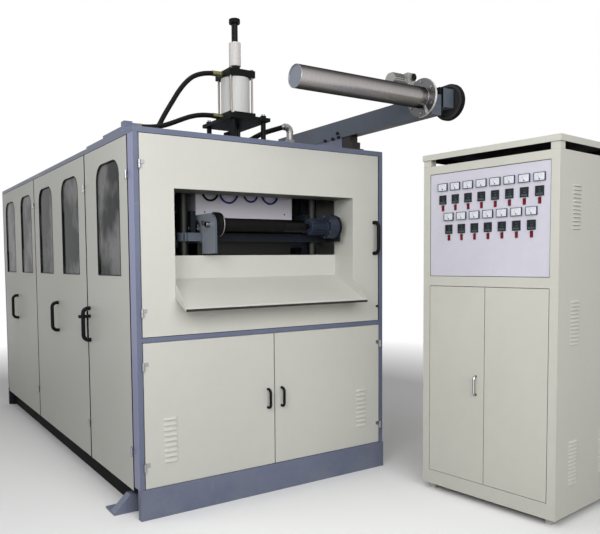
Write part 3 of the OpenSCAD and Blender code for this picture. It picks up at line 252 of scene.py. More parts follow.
# colour, roughness, drift of the tone, dust, the height it fades at, scuffs, shine, and what is unusual
paints = {
    "panelCream": ((0.60, 0.60, 0.555), 0.45, 0.025, 0.08, 0.5, 0.05, 0.3, {}),
    # the inside of the duct, painted near black as painted shade
    "ductCream": ((0.095, 0.105, 0.085), 0.50, 0.06, 0.10, 3.0, 0.10, 0.2, {}),
    "frameBlue": ((0.140, 0.162, 0.240), 0.38, 0.08, 0.20, 0.35, 0.20, 0.3, {}),
    # the corner posts' outer faces, painted lighter as painted light
    "postBlue": ((0.290, 0.305, 0.480), 0.36, 0.08, 0.15, 0.6, 0.20, 0.3, {}),
    "armBlue": ((0.080, 0.098, 0.128), 0.36, 0.10, 0.10, 3.0, 0.20, 0.3, {}),
    "saddleLilac": ((0.165, 0.175, 0.245), 0.36, 0.08, 0.10, 3.0, 0.20, 0.3, {}),
    # the winder mount's dark brown, also painted under the tray's lip as painted shade
    "mountBrown": ((0.030, 0.024, 0.024), 0.45, 0.15, 0.012, 3.0, 0.25, 0.2, {}),
    "shadeBlue": ((0.013, 0.016, 0.022), 0.45, 0.12, 0.012, 2.0, 0.15, 0.08, {}),
    # the outer face of the roller bracket's cheek, painted lighter as painted light
    "cheekGrey": ((0.25, 0.28, 0.32), 0.40, 0.10, 0.05, 3.0, 0.20, 0.25, {}),
    "wheelGrey": ((0.042, 0.041, 0.044), 0.60, 0.40, 0.012, 4.0, 0.60, 0.10, {"bare": (0.11, 0.11, 0.11)}),
    "cabinetCream": ((0.60, 0.60, 0.54), 0.45, 0.03, 0.10, 0.4, 0.05, 0.3, {}),
    "dialLilac": ((0.63, 0.62, 0.70), 0.40, 0.05, 0.0, 0.6, 0.0, 0.3, {"skin": 400.0}),
    "boxWhite": ((0.70, 0.68, 0.74), 0.35, 0.03, 0.05, 0.6, 0.15, 0.4, {}),
    "motorBlue": ((0.022, 0.030, 0.050), 0.36, 0.12, 0.03, 3.0, 0.25, 0.2, {}),
    "darkEnamel": ((0.005, 0.006, 0.006), 0.5, 0.12, 0.012, 4.0, 0.2, 0.08, {"bare": (0.10, 0.10, 0.11)}),
    "blackGrip": ((0.005, 0.005, 0.006), 0.5, 0.10, 0.012, 0.6, 0.10, 0.10,
                  {"bare": (0.06, 0.06, 0.06), "skin": 700.0}),
    "blackRubber": ((0.006, 0.006, 0.006), 0.65, 0.15, 0.012, 4.0, 0.15, 0.06,
                    {"bare": (0.06, 0.06, 0.06), "skin": 500.0}),
    "hoseRubber": ((0.006, 0.006, 0.006), 0.60, 0.15, 0.03, 4.0, 0.55, 0.10,
                   {"bare": (0.16, 0.12, 0.05), "skin": 500.0, "dustColour": (0.12, 0.10, 0.07)}),
    "blueRubber": ((0.012, 0.020, 0.22), 0.40, 0.12, 0.04, 0.6, 0.1, 0.3, {}),
    "sleeveWhite": ((0.66, 0.64, 0.62), 0.42, 0.04, 0.06, 4.0, 0.12, 0.4, {"bare": (0.45, 0.43, 0.42)}),
    "barrelGrey": ((0.62, 0.62, 0.61), 0.40, 0.05, 0.06, 4.0, 0.12, 0.4, {}),
    "meterBlue": ((0.014, 0.018, 0.060), 0.30, 0.05, 0.0, 0.6, 0.0, 0.2, {}),
    "meterCard": ((0.74, 0.76, 0.82), 0.5, 0.03, 0.0, 0.6, 0.0, 0.4, {}),
    "dialBlack": ((0.010, 0.012, 0.018), 0.35, 0.08, 0.03, 0.6, 0.1, 0.2, {}),
    "slateBlack": ((0.014, 0.020, 0.026), 0.40, 0.08, 0.0, 0.6, 0.05, 0.15, {}),
    "switchRed": ((0.20, 0.005, 0.015), 0.30, 0.05, 0.0, 0.6, 0.05, 0.2, {}),
    "windowSeal": ((0.012, 0.018, 0.016), 0.5, 0.10, 0.05, 0.6, 0.0, 0.05, {}),
    # near black painted as shade in slits, on sills and in hollows, and the dark joint round the instrument
    # panel
    "slitBlack": ((0.008, 0.008, 0.008), 0.8, 0.1, 0.012, 0.6, 0.0, 0.1, {}),
    "heaterClay": ((0.30, 0.27, 0.22), 0.7, 0.12, 0.1, 4.0, 0.2, 0.1, {}),
    "keyGrey": ((0.14, 0.15, 0.16), 0.5, 0.05, 0.0, 0.6, 0.0, 0.2, {}),
}
# colour, roughness, contrast of the tool lines, and what is unusual
metals = {
    # edge below 1 darkens the colour where the surface turns away, as painted shade round a painted sheen
    "brushedRoller": ((0.62, 0.59, 0.58), 0.22, 0.09,
                      {"stretch": (1.0, 0.05, 0.05), "scale": 90.0, "edge": 0.23}),
    "flangeBlue": ((0.22, 0.24, 0.28), 0.40, 0.10, {"stretch": (0.1, 1.0, 1.0)}),
    "satinDisc": ((0.34, 0.34, 0.35), 0.38, 0.10, {"stretch": (0.1, 1.0, 1.0)}),
    "frostedDisc": ((0.66, 0.66, 0.65), 0.50, 0.30, {"stretch": (0.5, 1.0, 1.0), "scale": 16.0}),
    "chrome": ((0.60, 0.60, 0.62), 0.18, 0.03, {"edge": 0.35}),
    "hingeSteel": ((0.36, 0.36, 0.37), 0.42, 0.10, {}),
    "boltSteel": ((0.30, 0.29, 0.28), 0.34, 0.12, {}),
    "shaftSteel": ((0.26, 0.26, 0.27), 0.28, 0.08, {"edge": 0.4}),
    # steel darkened to near black as painted shade, for the press columns inside
    "columnSteel": ((0.030, 0.032, 0.030), 0.45, 0.12, {"stretch": (0.1, 0.1, 1.0), "dust": 0.012}),
    "motorAluminium": ((0.34, 0.34, 0.33), 0.46, 0.16, {"scale": 30.0}),
    # aluminium darkened to near black as painted shade
    "mouldAluminium": ((0.035, 0.035, 0.032), 0.5, 0.12, {"stretch": (1.0, 0.1, 1.0), "dust": 0.012}),
    "rodWarm": ((0.24, 0.21, 0.19), 0.30, 0.10, {"stretch": (1.0, 1.0, 0.05)}),
    "zincYellow": ((0.20, 0.19, 0.09), 0.36, 0.30, {"scale": 25.0}),
    "blackedSteel": ((0.016, 0.016, 0.017), 0.36, 0.25, {"stretch": (1.0, 1.0, 0.06), "dust": 0.012}),
}
finish = {name: coated(name, *row[:-1], **row[-1]) for name, row in paints.items()}
finish.update({name: machined(name, *row[:-1], **row[-1]) for name, row in metals.items()})


def buildGlass():
    # tinted panes with soft dark and light patches painted into the colour, as painted reflections of a
    # workshop
    material, tree, shader, place = startMaterial("windowGlass", {
        "Metallic": 0.0, "IOR": 1.5, "Specular IOR Level": 0.04})
    stretched = mixVector(tree, "MULTIPLY", place, (1.0, 1.3, 1.2))
    patches = spread(tree, noise(tree, stretched, 2.4, 3.0, 0.5), 0.44, 0.58)
    shade = mixColour(tree, patches, (0.014, 0.017, 0.018, 1), (0.21, 0.205, 0.21, 1))
    tone = useGroup(tree, toneGroup, {
        "Vector": place, "Color": shade, "Drift": 0.25, "Patch Scale": 3.6, "Skin Scale": 3.0})
    rough = maths(tree, "ADD", tone["Gloss Shift"], 0.14, True)
    endMaterial(tree, shader, tone["Color"], rough, tone["Height"], 0.002)
    return material


def buildLit(name, colour, strength):
    material, tree, shader, place = startMaterial(name, {"Roughness": 0.4, "Emission Strength": strength})
    tone = useGroup(tree, toneGroup, {
        "Vector": place, "Color": (*colour, 1), "Drift": 0.15, "Patch Scale": 30.0})
    for socket in ("Base Color", "Emission Color"):
        tree.links.new(tone["Color"], shader.inputs[socket])
    return material


finish["windowGlass"] = buildGlass()
finish["digitGreen"] = buildLit("digitGreen", (0.03, 0.16, 0.11), 0.25)
finish["digitRed"] = buildLit("digitRed", (0.08, 0.02, 0.02), 0.2)
print("materials made:", len(finish))


# geometry node trees for what repeats or follows a path
def startTree(name, inputs):
    return startGroup(name, "GeometryNodeTree", [
        ("Geometry", "Geometry", None), *inputs, ("Material", "Material", None),
    ], [("Geometry", "Geometry")])


def addGeometry(tree, kind, values, **settings):
    return addNode(tree, "GeometryNode" + kind, values, **settings).outputs[0]


def endTree(tree, geometry, material, out):
    real = addGeometry(tree, "RealizeInstances", {"Geometry": geometry})
    return endGroup(tree, out, {
        "Geometry": addGeometry(tree, "SetMaterial", {"Geometry": real, "Material": material})})


def buildRows():
    # copies of the item in rows: Count A steps of Step A, Count B steps of Step B
    tree, given, out = startTree("rowsOfItems", [
        ("Count A", "Int", 1), ("Count B", "Int", 1),
        ("Step A", "Vector", (0, 0, 0)), ("Step B", "Vector", (0, 0, 0))])
    index = addGeometry(tree, "InputIndex", {})
    stepA = maths(tree, "FLOORED_MODULO", index, given["Count A"])
    stepB = maths(tree, "FLOOR", maths(tree, "DIVIDE", index, given["Count A"]))
    position = mixVector(tree, "ADD", mixVector(tree, "SCALE", given["Step A"], stepA),
                         mixVector(tree, "SCALE", given["Step B"], stepB))
    count = maths(tree, "MULTIPLY", given["Count A"], given["Count B"])
    points = addGeometry(tree, "Points", {"Count": count, "Position": position})
    copies = addGeometry(tree, "InstanceOnPoints", {"Points": points, "Instance": given["Geometry"]})
    return endTree(tree, copies, given["Material"], out)


def buildRing():
    # copies of the item turned about an axis through Centre
    tree, given, out = startTree("ringOfItems", [
        ("Count", "Int", 6), ("Centre", "Vector", (0, 0, 0)), ("Axis", "Vector", (0, 0, 1))])
    index = addGeometry(tree, "InputIndex", {})
    angle = maths(tree, "MULTIPLY", maths(tree, "DIVIDE", index, given["Count"]), 2 * math.pi)
    turning = {"Axis": given["Axis"], "Angle": angle}
    turn = addNode(tree, "FunctionNodeAxisAngleToRotation", turning).outputs[0]
    points = addGeometry(tree, "Points", {"Count": given["Count"], "Position": given["Centre"]})
    back = mixVector(tree, "SCALE", given["Centre"], -1.0)
    item = addGeometry(tree, "Transform", {"Geometry": given["Geometry"], "Translation": back})
    copies = addGeometry(tree, "InstanceOnPoints", {"Points": points, "Instance": item, "Rotation": turn})
    return endTree(tree, copies, given["Material"], out)


def buildBar():
    # a round bar swept along a line of edges
    tree, given, out = startTree("barAlongPath", [("Radius", "Float", 0.01), ("Sides", "Int", 16)])
    path = addGeometry(tree, "MeshToCurve", {"Mesh": given["Geometry"]})
    circle = addGeometry(tree, "CurvePrimitiveCircle", {
        "Resolution": given["Sides"], "Radius": given["Radius"]})
    swept = addGeometry(tree, "CurveToMesh", {"Curve": path, "Profile Curve": circle, "Fill Caps": True})
    return endTree(tree, swept, given["Material"], out)


def buildBeads():
    # rings threaded on a line of edges at an even spacing
    tree, given, out = startTree("ringsAlongPath", [
        ("Count", "Int", 10), ("Ring Radius", "Float", 0.02), ("Wire Radius", "Float", 0.002)])
    path = addGeometry(tree, "MeshToCurve", {"Mesh": given["Geometry"]})
    even = addGeometry(tree, "ResampleCurve", {"Curve": path, "Count": given["Count"]})
    ring = addGeometry(tree, "CurvePrimitiveCircle", {"Resolution": 20, "Radius": given["Ring Radius"]})
    wire = addGeometry(tree, "CurvePrimitiveCircle", {"Resolution": 6, "Radius": given["Wire Radius"]})
    torus = addGeometry(tree, "CurveToMesh", {"Curve": ring, "Profile Curve": wire})
    tangent = addGeometry(tree, "InputTangent", {})
    turn = addNode(tree, "FunctionNodeAlignRotationToVector", {"Vector": tangent}, axis="Z").outputs[0]
    copies = addGeometry(tree, "InstanceOnPoints", {"Points": even, "Instance": torus, "Rotation": turn})
    return endTree(tree, copies, given["Material"], out)


rowsTree = buildRows()
ringTree = buildRing()
barTree = buildBar()
beadTree = buildBeads()


def runTree(tree, mesh, values):
    # evaluates a geometry tree on a mesh and returns the plain result
    carrier = bpy.data.objects.new("carrier", mesh)
    scene.collection.objects.link(carrier)
    modifier = carrier.modifiers.new("tree", "NODES")
    modifier.node_group = tree
    for item in tree.interface.items_tree:
        if item.in_out == "INPUT" and item.name in values:
            modifier[item.identifier] = values[item.name]
    bpy.context.view_layer.update()
    result = bpy.data.meshes.new_from_object(carrier.evaluated_get(bpy.context.evaluated_depsgraph_get()))
    bpy.data.objects.remove(carrier)
    return result


# mesh helpers
def meshFrom(bm, name="part"):
    mesh = bpy.data.meshes.new(name)
    bm.to_mesh(mesh)
    bm.free()
    return mesh


def addPiece(name, mesh, body, material=None, stands=(), bevel=0.0, angle=32):
    # links a finished mesh as a piece that rides on a body
    if material:
        mesh.materials.clear()
        mesh.materials.append(finish[material])
    mesh.polygons.foreach_set("use_smooth", [True] * len(mesh.polygons))
    mesh.set_sharp_from_angle(angle=math.radians(angle))
    made = bpy.data.objects.new(name, mesh)
    scene.collection.objects.link(made)
    if bevel:
        edge = made.modifiers.new("edges", "BEVEL")
        edge.width = bevel
        edge.segments = 2
        edge.limit_method = "ANGLE"
        edge.angle_limit = math.radians(40)
        edge.harden_normals = True
    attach(made, body)
    if stands:
        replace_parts(made, *stands)
    return made


def addPart(bm, part, place=None):
    if place:
        part.transform(place)
    bmesh.ops.recalc_face_normals(part, faces=part.faces[:])
    mesh = meshFrom(part)
    bm.from_mesh(mesh)
    bpy.data.meshes.remove(mesh)


def addBlock(bm, low, high, bevel=0.0, place=None):
    part = bmesh.new()
    low, high = Vector(low), Vector(high)
    size = Matrix.Diagonal((*(high - low), 1))
    bmesh.ops.create_cube(part, size=1.0, matrix=Matrix.Translation((low + high) / 2) @ size)
    if bevel:
        bmesh.ops.bevel(part, geom=part.edges[:], offset=bevel, segments=2, affect="EDGES", profile=0.6)
    addPart(bm, part, place)


def blockOf(low, high, bevel=0.0):
    bm = bmesh.new()
    addBlock(bm, low, high, bevel)
    return bm


def addLathe(bm, profile, origin, axis, sides):
    # a turned shape: profile is a list of (radius, distance along the axis), open ends are capped
    part = bmesh.new()
    axis = Vector(axis).normalized()
    side = axis.orthogonal().normalized()
    across = axis.cross(side)
    origin = Vector(origin)
    rings = []
    for radius, along in profile:
        middle = origin + axis * along
        turns = [2 * math.pi * k / sides for k in range(sides if radius > 0 else 1)]
        rings.append([part.verts.new(middle + radius * (side * math.cos(t) + across * math.sin(t)))
                      for t in turns])
    for first, second in zip(rings, rings[1:]):
        for k in range(sides):
            steps = ((first, k), (first, k + 1), (second, k + 1), (second, k))
            part.faces.new(list(dict.fromkeys(ring[n % len(ring)] for ring, n in steps)))
    for ring in (rings[0], rings[-1]):
        if len(ring) > 1:
            part.faces.new(ring)
    addPart(bm, part)


def addHex(bm, across, height, origin, axis):
    # a hexagon nut or bolt head with chamfered corners
    outer = across / math.sqrt(3)
    chamfer = 0.12 * height
    addLathe(bm, [(outer * 0.93, 0), (outer, chamfer), (outer, height - chamfer), (outer * 0.93, height)],
             origin, axis, 6)


def pathMesh(points):
    bm = bmesh.new()
    verts = [bm.verts.new(p) for p in points]
    for a, b in zip(verts, verts[1:]):
        bm.edges.new((a, b))
    return meshFrom(bm)


def addTube(bm, points, radius, sides):
    mesh = runTree(barTree, pathMesh(points), {"Radius": radius, "Sides": sides})
    mesh.materials.clear()
    bm.from_mesh(mesh)
    bpy.data.meshes.remove(mesh)


def addRing(name, bm, count, centre, material, body="root", axis=(1, 0, 0)):
    # the item repeated round an axis
    values = {"Count": count, "Centre": centre, "Axis": axis, "Material": finish[material]}
    return addPiece(name, runTree(ringTree, meshFrom(bm), values), body)


def addRows(name, bm, countA, stepA, material, body="root", countB=1, stepB=(0, 0, 0)):
    # the item repeated in one or more rows
    values = {"Count A": countA, "Count B": countB, "Step A": tuple(stepA), "Step B": tuple(stepB),
              "Material": finish[material]}
    return addPiece(name, runTree(rowsTree, meshFrom(bm), values), body, angle=50)


def looseParts(bm):
    seen = set()
    parts = []
    for face in bm.faces:
        if face in seen:
            continue
        stack, part = [face], []
        seen.add(face)
        while stack:
            here = stack.pop()
            part.append(here)
            for edge in here.edges:
                for other in edge.link_faces:
                    if other not in seen:
                        seen.add(other)
                        stack.append(other)
        parts.append(part)
    return parts


def boxOf(points):
    points = list(points)
    return [Vector([edge(p[i] for p in points) for i in range(3)]) for edge in (min, max)]


def partBox(faces):
    return boxOf(v.co for f in faces for v in f.verts)


def mergedCopy(node):
    # a CAD node's mesh with its vertices joined and its flat faces whole
    bm = bmesh.new()
    bm.from_mesh(nodes[node].data)
    bmesh.ops.remove_doubles(bm, verts=bm.verts[:], dist=0.02 * mm)
    bmesh.ops.dissolve_limit(bm, angle_limit=math.radians(0.4), verts=bm.verts[:], edges=bm.edges[:])
    return bm


def cutAway(bm, isProud):
    # removes the faces that stand proud and closes the wall behind them
    bmesh.ops.delete(bm, geom=[f for f in bm.faces if isProud(f.calc_center_median())], context="FACES")
    rim = [e for e in bm.edges if len(e.link_faces) == 1]
    bmesh.ops.holes_fill(bm, edges=rim, sides=0)
    bmesh.ops.dissolve_limit(bm, angle_limit=math.radians(0.4), verts=bm.verts[:], edges=bm.edges[:])


def refine(node, body, sortPart, groups, bevel, paint=None, proud=None, cuts=()):
    # splits a CAD node into finished pieces: sortPart(low, high) names each solid's group, groups gives
    # each group's (piece name, material, slot), of which the slot is not used, and paint(face centre) may
    # name another material; a solid whose group isn't in groups is left out; also returns the boxes of each
    # group's solids
    bm = mergedCopy(node)
    if proud:
        cutAway(bm, proud)
    for spot, normal in cuts:
        geometry = bm.verts[:] + bm.edges[:] + bm.faces[:]
        bmesh.ops.bisect_plane(bm, geom=geometry, dist=1e-6, plane_co=spot, plane_no=normal)
    facesOf, boxes, made = {}, {}, {}
    for part in looseParts(bm):
        box = partBox(part)
        key = sortPart(*box)
        facesOf.setdefault(key, []).extend(part)
        boxes.setdefault(key, []).append(box)
    for key in [key for key in facesOf if key in groups]:
        name, material, slot = groups[key]
        kept = bmesh.new()
        verts = {}
        names = [material]
        for face in facesOf[key]:
            for v in face.verts:
                if v not in verts:
                    verts[v] = kept.verts.new(v.co)
            new = kept.faces.new([verts[v] for v in face.verts])
            other = paint(face.calc_center_median()) if paint else None
            if other:
                if other not in names:
                    names.append(other)
                new.material_index = names.index(other)
        mesh = meshFrom(kept, name)
        for each in names:
            mesh.materials.append(finish[each])
        made[key] = addPiece(name, mesh, body, bevel=bevel)
    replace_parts(next(iter(made.values())), node)
    return made, boxes


def refineWhole(node, material, slot, body="root", bevel=1.2 * mm, paint=None, cuts=(), proud=None,
                name=None):
    groups = {"whole": (name or node + "_finished", material, slot)}
    refine(node, body, lambda low, high: "whole", groups, bevel, paint, proud, cuts)


# camera
cameraSettings = {
    "place": (-2.118, -4.932, 1.386), "yaw": 31.56, "pitch": -3.31, "roll": -0.65,
    "lens": 38.51, "sensor": 36.0, "shift": (0.081, 0.0533),
}


def addCamera(s):
    data = bpy.data.cameras.new("camera")
    data.lens = s["lens"]
    data.sensor_width = s["sensor"]
    data.shift_x, data.shift_y = s["shift"]
    data.clip_end = 100
    camera = bpy.data.objects.new("camera", data)
    scene.collection.objects.link(camera)
    place = Matrix.Translation(s["place"])
    for degrees, axis in ((-s["yaw"], "Z"), (90 + s["pitch"], "X"), (s["roll"], "Z")):
        place @= Matrix.Rotation(math.radians(degrees), 4, axis)
    camera.matrix_world = place
    scene.camera = camera


addCamera(cameraSettings)

# air hoses and cooling hoses; the points of a hose are in mm from where it starts
hoseSettings = {
    "diameter": 30 * mm, "firstFerrule": 62 * mm, "lastFerrule": 24 * mm, "grooves": 5, "ribs": 26,
    "start": (cylinderX, pressY, roofZ),
    "upper": [(-107, 0, 478), (-170, 0, 475), (-237, 0, 463), (-300, 0, 437), (-352, 0, 394),
              (-400, 0, 336), (-446, 0, 266), (-491, 0, 195), (-526, 0, 134), (-546, 0, 92), (-552, 0, 50)],
    "lower": [(-107, 0, 211), (-165, 0, 212), (-225, -3, 209), (-283, -12, 199), (-340, -24, 182),
              (-400, -36, 158), (-460, -47, 132), (-520, -56, 108), (-580, -60, 92), (-640, -60, 84),
              (-700, -60, 82)],
    "right": [(60, 0, 66), (110, 0, 85), (165, 0, 115), (225, 0, 143), (308, 0, 172), (345, 0, 184),
              (376, 0, 196)],
}


def smoothRoute(points, perSpan=8):
    # points along the smooth curve through a list of points
    result = []
    last = len(points) - 1
    for i in range(last):
        a, b, c, d = (points[max(i - 1, 0)], points[i], points[i + 1], points[min(i + 2, last)])
        for k in range(perSpan):
            u = k / perSpan
            result.append(0.5 * (2 * b + (c - a) * u + (2 * a - 5 * b + 4 * c - d) * u * u
                                 + (3 * b - a - 3 * c + d) * u ** 3))
    return result + [points[-1]]


def addCord(name, route, diameter, material, node):
    data = bpy.data.curves.new(name, "CURVE")
    data.dimensions = "3D"
    data.bevel_depth = diameter / 2
    data.bevel_resolution = 5
    data.use_fill_caps = True
    spline = data.splines.new("POLY")
    spline.points.add(len(route) - 1)
    for point, place in zip(spline.points, route):
        point.co = (*place, 1)
    spline.use_smooth = True
    data.materials.append(finish[material])
    cord = bpy.data.objects.new(name, data)
    scene.collection.objects.link(cord)
    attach(cord, "root")
    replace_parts(cord, node)


def addFerrule(bm, at, toward, length, r, grooves):
    # a crimped sleeve round the end of a hose
    steps = [(r + 0.2 * mm, 0.5 * mm), (r + 2 * mm, 2 * mm)]
    for k in range(grooves):
        z = length * (0.15 + 0.17 * k)
        steps += [(r + 2.2 * mm, z), (r + 1.2 * mm, z + 0.05 * length), (r + 2.2 * mm, z + 0.1 * length)]
    steps += [(r + 2 * mm, length - 1 * mm), (r + 0.2 * mm, length)]
    addLathe(bm, steps, at, toward - at, 28)


def addAirHoses(s):
    start = Vector(s["start"])
    r = s["diameter"] / 2
    for key in ("upper", "lower", "right"):
        route = smoothRoute([start + Vector(p) * mm for p in s[key]])
        sleeves = bmesh.new()
        addFerrule(sleeves, route[0], route[6], s["firstFerrule"], r, s["grooves"])
        addFerrule(sleeves, route[-1], route[-4], s["lastFerrule"], r, s["grooves"])
        extras = [addPiece("hose_ferrules_" + key, meshFrom(sleeves), "root",
                           "zincYellow" if key != "right" else "boltSteel")]
        if key == "right":
            ribs = runTree(beadTree, pathMesh(route[5:-4]), {
                "Count": s["ribs"], "Ring Radius": r + 0.3 * mm, "Wire Radius": 2.2 * mm,
                "Material": finish["blackRubber"]})
            extras.append(addPiece("hose_ribs_right", ribs, "root", angle=60))
        addCord("air_hose_" + key, route, s["diameter"], "hoseRubber", "air_hoses")


addAirHoses(hoseSettings)

# a loop is its middle and its radius in mm
coolingSettings = {"hose": 12 * mm, "forward": 12 * mm, "drop": 35 * mm, "pipe": 24 * mm, "nut": 17 * mm,
                   "nutHeight": 8 * mm, "nutDrop": 9 * mm, "sunk": 1 * mm,
                   "loops": [(-260, 52), (-130, 62), (30, 50), (175, 58)]}


def addCoolingHoses(s):
    low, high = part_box("cooling_box")
    y = low[1] - s["forward"]
    z = high[2] - s["drop"]
    pipeLow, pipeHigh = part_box("water_hoses")
    manifold = blockOf((pipeLow[0], y - s["pipe"] / 2, z - s["sunk"]),
                       (pipeHigh[0], low[1] - 0.3 * mm, z + s["pipe"] - s["sunk"]), 2 * mm)
    for x, r in s["loops"]:
        for side in (-1, 1):
            spot = (x * mm + side * r * mm, y, z - s["nutDrop"])
            addHex(manifold, s["nut"], s["nutHeight"], spot, (0, 0, 1))
    addPiece("cooling_manifold", meshFrom(manifold), "root", "satinDisc", ("water_hoses",))
    for number, (x, r) in enumerate(s["loops"], 1):
        turns = [math.pi * k / 24 for k in range(25)]
        route = [Vector((x + r * math.cos(t), 0, -r * math.sin(t))) * mm + Vector((0, y, z)) for t in turns]
        addCord("cooling_hose_%d" % number, route, s["hose"], "blackRubber" if number == 1 else "blueRubber",
                "water_hoses")


addCoolingHoses(coolingSettings)
print("hoses made")


# frame and fixed panels
frameSettings = {"sillInset": 60 * mm, "darkFrom": 1.6, "postSide": 29 * mm, "postFront": 81 * mm,
                 "sealFrom": 15 * mm, "sealTo": 30 * mm}


def basePaint(c):
    # the sills and what lies behind the doors are painted dark, as painted shade
    if abs(abs(c[0]) - (rightX - frameSettings["sillInset"])) < 2 * mm:
        return "slitBlack"
    return "shadeBlue" if frameSettings["darkFrom"] < c[1] < -frontY - 1 * mm else None


def framePaint(c):
    # corner posts with their outer faces painted lighter as painted light, and black seals in the rebates
    # that the doors close against
    s = frameSettings
    onPost = c[0] < leftX + s["postSide"] and c[1] < frontY + s["postFront"]
    if onPost and (c[0] < leftX + 1 * mm or c[1] < frontY + 1 * mm):
        return "postBlue"
    inset = min(rightX - abs(c[0]), -frontY - abs(c[1]))
    return "windowSeal" if s["sealFrom"] < inset < s["sealTo"] else None


refineWhole("base_frame", "frameBlue", "frame_paint", bevel=2.5 * mm, paint=basePaint)
refineWhole("upper_frame", "frameBlue", "frame_paint", bevel=1.6 * mm, paint=framePaint)
refineWhole("roof_panel", "frameBlue", "frame_paint", bevel=2.5 * mm)
refineWhole("fixed_panels", "panelCream", "panel_paint", bevel=2 * mm)
refineWhole("hinge_pins", "hingeSteel", "chrome", bevel=1 * mm)


# doors
gripSettings = {"corner": 1.3, "swell": 1.25, "lift": 0.3 * mm, "flange": 6 * mm}


def addGrip(node, middle, outward, length, proud, thick, material="blackGrip"):
    # a bent bar handle with a round flange at each foot
    s = gripSettings
    thick = thick * s["swell"]
    lift = s["lift"]
    out = Vector(outward)
    up = Vector((0, 0, 1))
    reach = (length - thick) / 2
    depth = proud - thick / 2
    bend = thick * s["corner"]
    points = []
    bm = bmesh.new()
    flange = [(thick * 0.49, lift), (thick * 0.5, lift + 0.5 * mm), (thick * 0.5, lift + 3 * mm),
              (thick * 0.47, s["flange"])]
    for sign in (-1, 1):
        foot = middle + up * sign * reach
        arc = [foot + out * (depth - bend) + out * bend * math.sin(t) - up * sign * bend * (1 - math.cos(t))
               for t in [math.pi / 2 * k / 6 for k in range(7)]]
        side = [foot + out * lift, foot + out * (depth - bend) * 0.5] + arc
        points += side if sign < 0 else side[::-1]
    addTube(bm, points, thick / 2, 20)
    for sign in (-1, 1):
        addLathe(bm, flange, middle + up * sign * reach, out, 24)
    addPiece(node + "_grip", meshFrom(bm), node, material, angle=50)


def addDoorGrip(node, box, facing):
    # the grip of a machine door, whose face looks along -X (facing 0) or -Y (facing 1)
    low, high = box
    middle = (low + high) / 2
    middle[facing] = (leftX, frontY)[facing]
    outward = Vector((-1, 0, 0) if facing == 0 else (0, -1, 0))
    size = high - low
    addGrip(node, middle, outward, size[2], middle[facing] - low[facing], size[1 - facing])
    return middle


louvreSettings = {"width": 82 * mm, "drop": 14 * mm, "proud": 7 * mm, "pitch": 29 * mm, "count": 9,
                  "fromEdge": 146 * mm, "aboveSkirt": 377 * mm}


def louvreHood(width, drop, proud):
    # one pressed hood in the X-Z plane, standing out along -Y, its upper left corner at the origin
    across, down, sunk = 8, 4, 0.6 * mm
    bm = bmesh.new()
    rows = []
    for j in range(down + 1):
        v = j / down
        row = []
        for i in range(across + 1):
            u = i / across
            swell = min(1.0, math.sin(math.pi * u) * 2.6) if 0 < i < across else 0.0
            row.append(bm.verts.new((width * u, -proud * math.sin(v * math.pi / 2) * swell, -drop * v)))
        rows.append(row)
    top, back = [[bm.verts.new((width * i / across, sunk, z)) for i in range(across + 1)]
                 for z in (0, -drop)]
    for upper, lower in zip([top] + rows, rows + [back]):
        for i in range(across):
            bm.faces.new((upper[i], upper[i + 1], lower[i + 1], lower[i]))
    bmesh.ops.recalc_face_normals(bm, faces=bm.faces[:])
    return bm


def louvreSlitShade(width, drop):
    # a black strip under the hood, painted as the shade in the slit
    return blockOf((width * 0.08, -0.5 * mm, -drop - 1.2 * mm), (width * 0.92, 0.5 * mm, -drop + 1 * mm))


def addLouvres(name, body, place, s, material, countB=1, stepB=(0, 0, 0)):
    # place puts the first hood where it belongs; stepB leads to the next column of hoods
    # the slits are black strips painted as shade
    for part, bm, look in (("hoods", louvreHood(s["width"], s["drop"], s["proud"]), material),
                           ("slits", louvreSlitShade(s["width"], s["drop"]), "slitBlack")):
        bm.transform(place)
        down = (0, 0, -s["pitch"])
        addRows("%s_%s" % (name, part), bm, s["count"], down, look, body, countB, stepB)


latchSettings = {"rod": 9 * mm, "length": 170 * mm, "out": 20 * mm, "knobUp": 50 * mm, "knobOut": 76 * mm,
                 "knob": 20 * mm}


def addLatch(body, middle, s):
    # a bolt rod behind the grip with its cross knob
    bm = bmesh.new()
    face, y, z = middle
    rod = [Vector((face - s["out"], y, z + s["length"] / 2 * k)) for k in (-1, 0, 1)]
    addTube(bm, rod, s["rod"] / 2, 12)
    half = s["knob"] / 2
    addBlock(bm, (face - s["knobOut"], y - half, z + s["knobUp"] - half),
             (face - 0.3 * mm, y + half, z + s["knobUp"] + half), 3 * mm)
    addPiece(body + "_latch", meshFrom(bm), body, "blackGrip", angle=50)


doorSettings = {"knuckle": 34 * mm, "joint": 9 * mm, "lipDown": 0.961, "ductIn": 40 * mm, "ductDown": 0.335,
                "leaf": 0.5}


def onKnuckle(c, hinge, along):
    # true on the hinge knuckles, which stand proud of the door's face beside its hinge axis
    face = (leftX, frontY)[1 - along]
    return abs(c[along] - hinge[along]) < doorSettings["knuckle"] and c[1 - along] < face - 0.4 * mm


def addDoor(node, facing, bevel, sortPart, paint, others=(), cuts=(), proud=None):
    # the leaf, its grip and what else it carries; returns the boxes of its solids and the grip's middle
    groups = {"leaf": (node + "_leaf", "panelCream", "panel_paint"), **dict(others)}
    boxes = refine(node, node, sortPart, groups, bevel, paint, proud, cuts)[1]
    return boxes, addDoorGrip(node, boxes["grip"][0], facing)


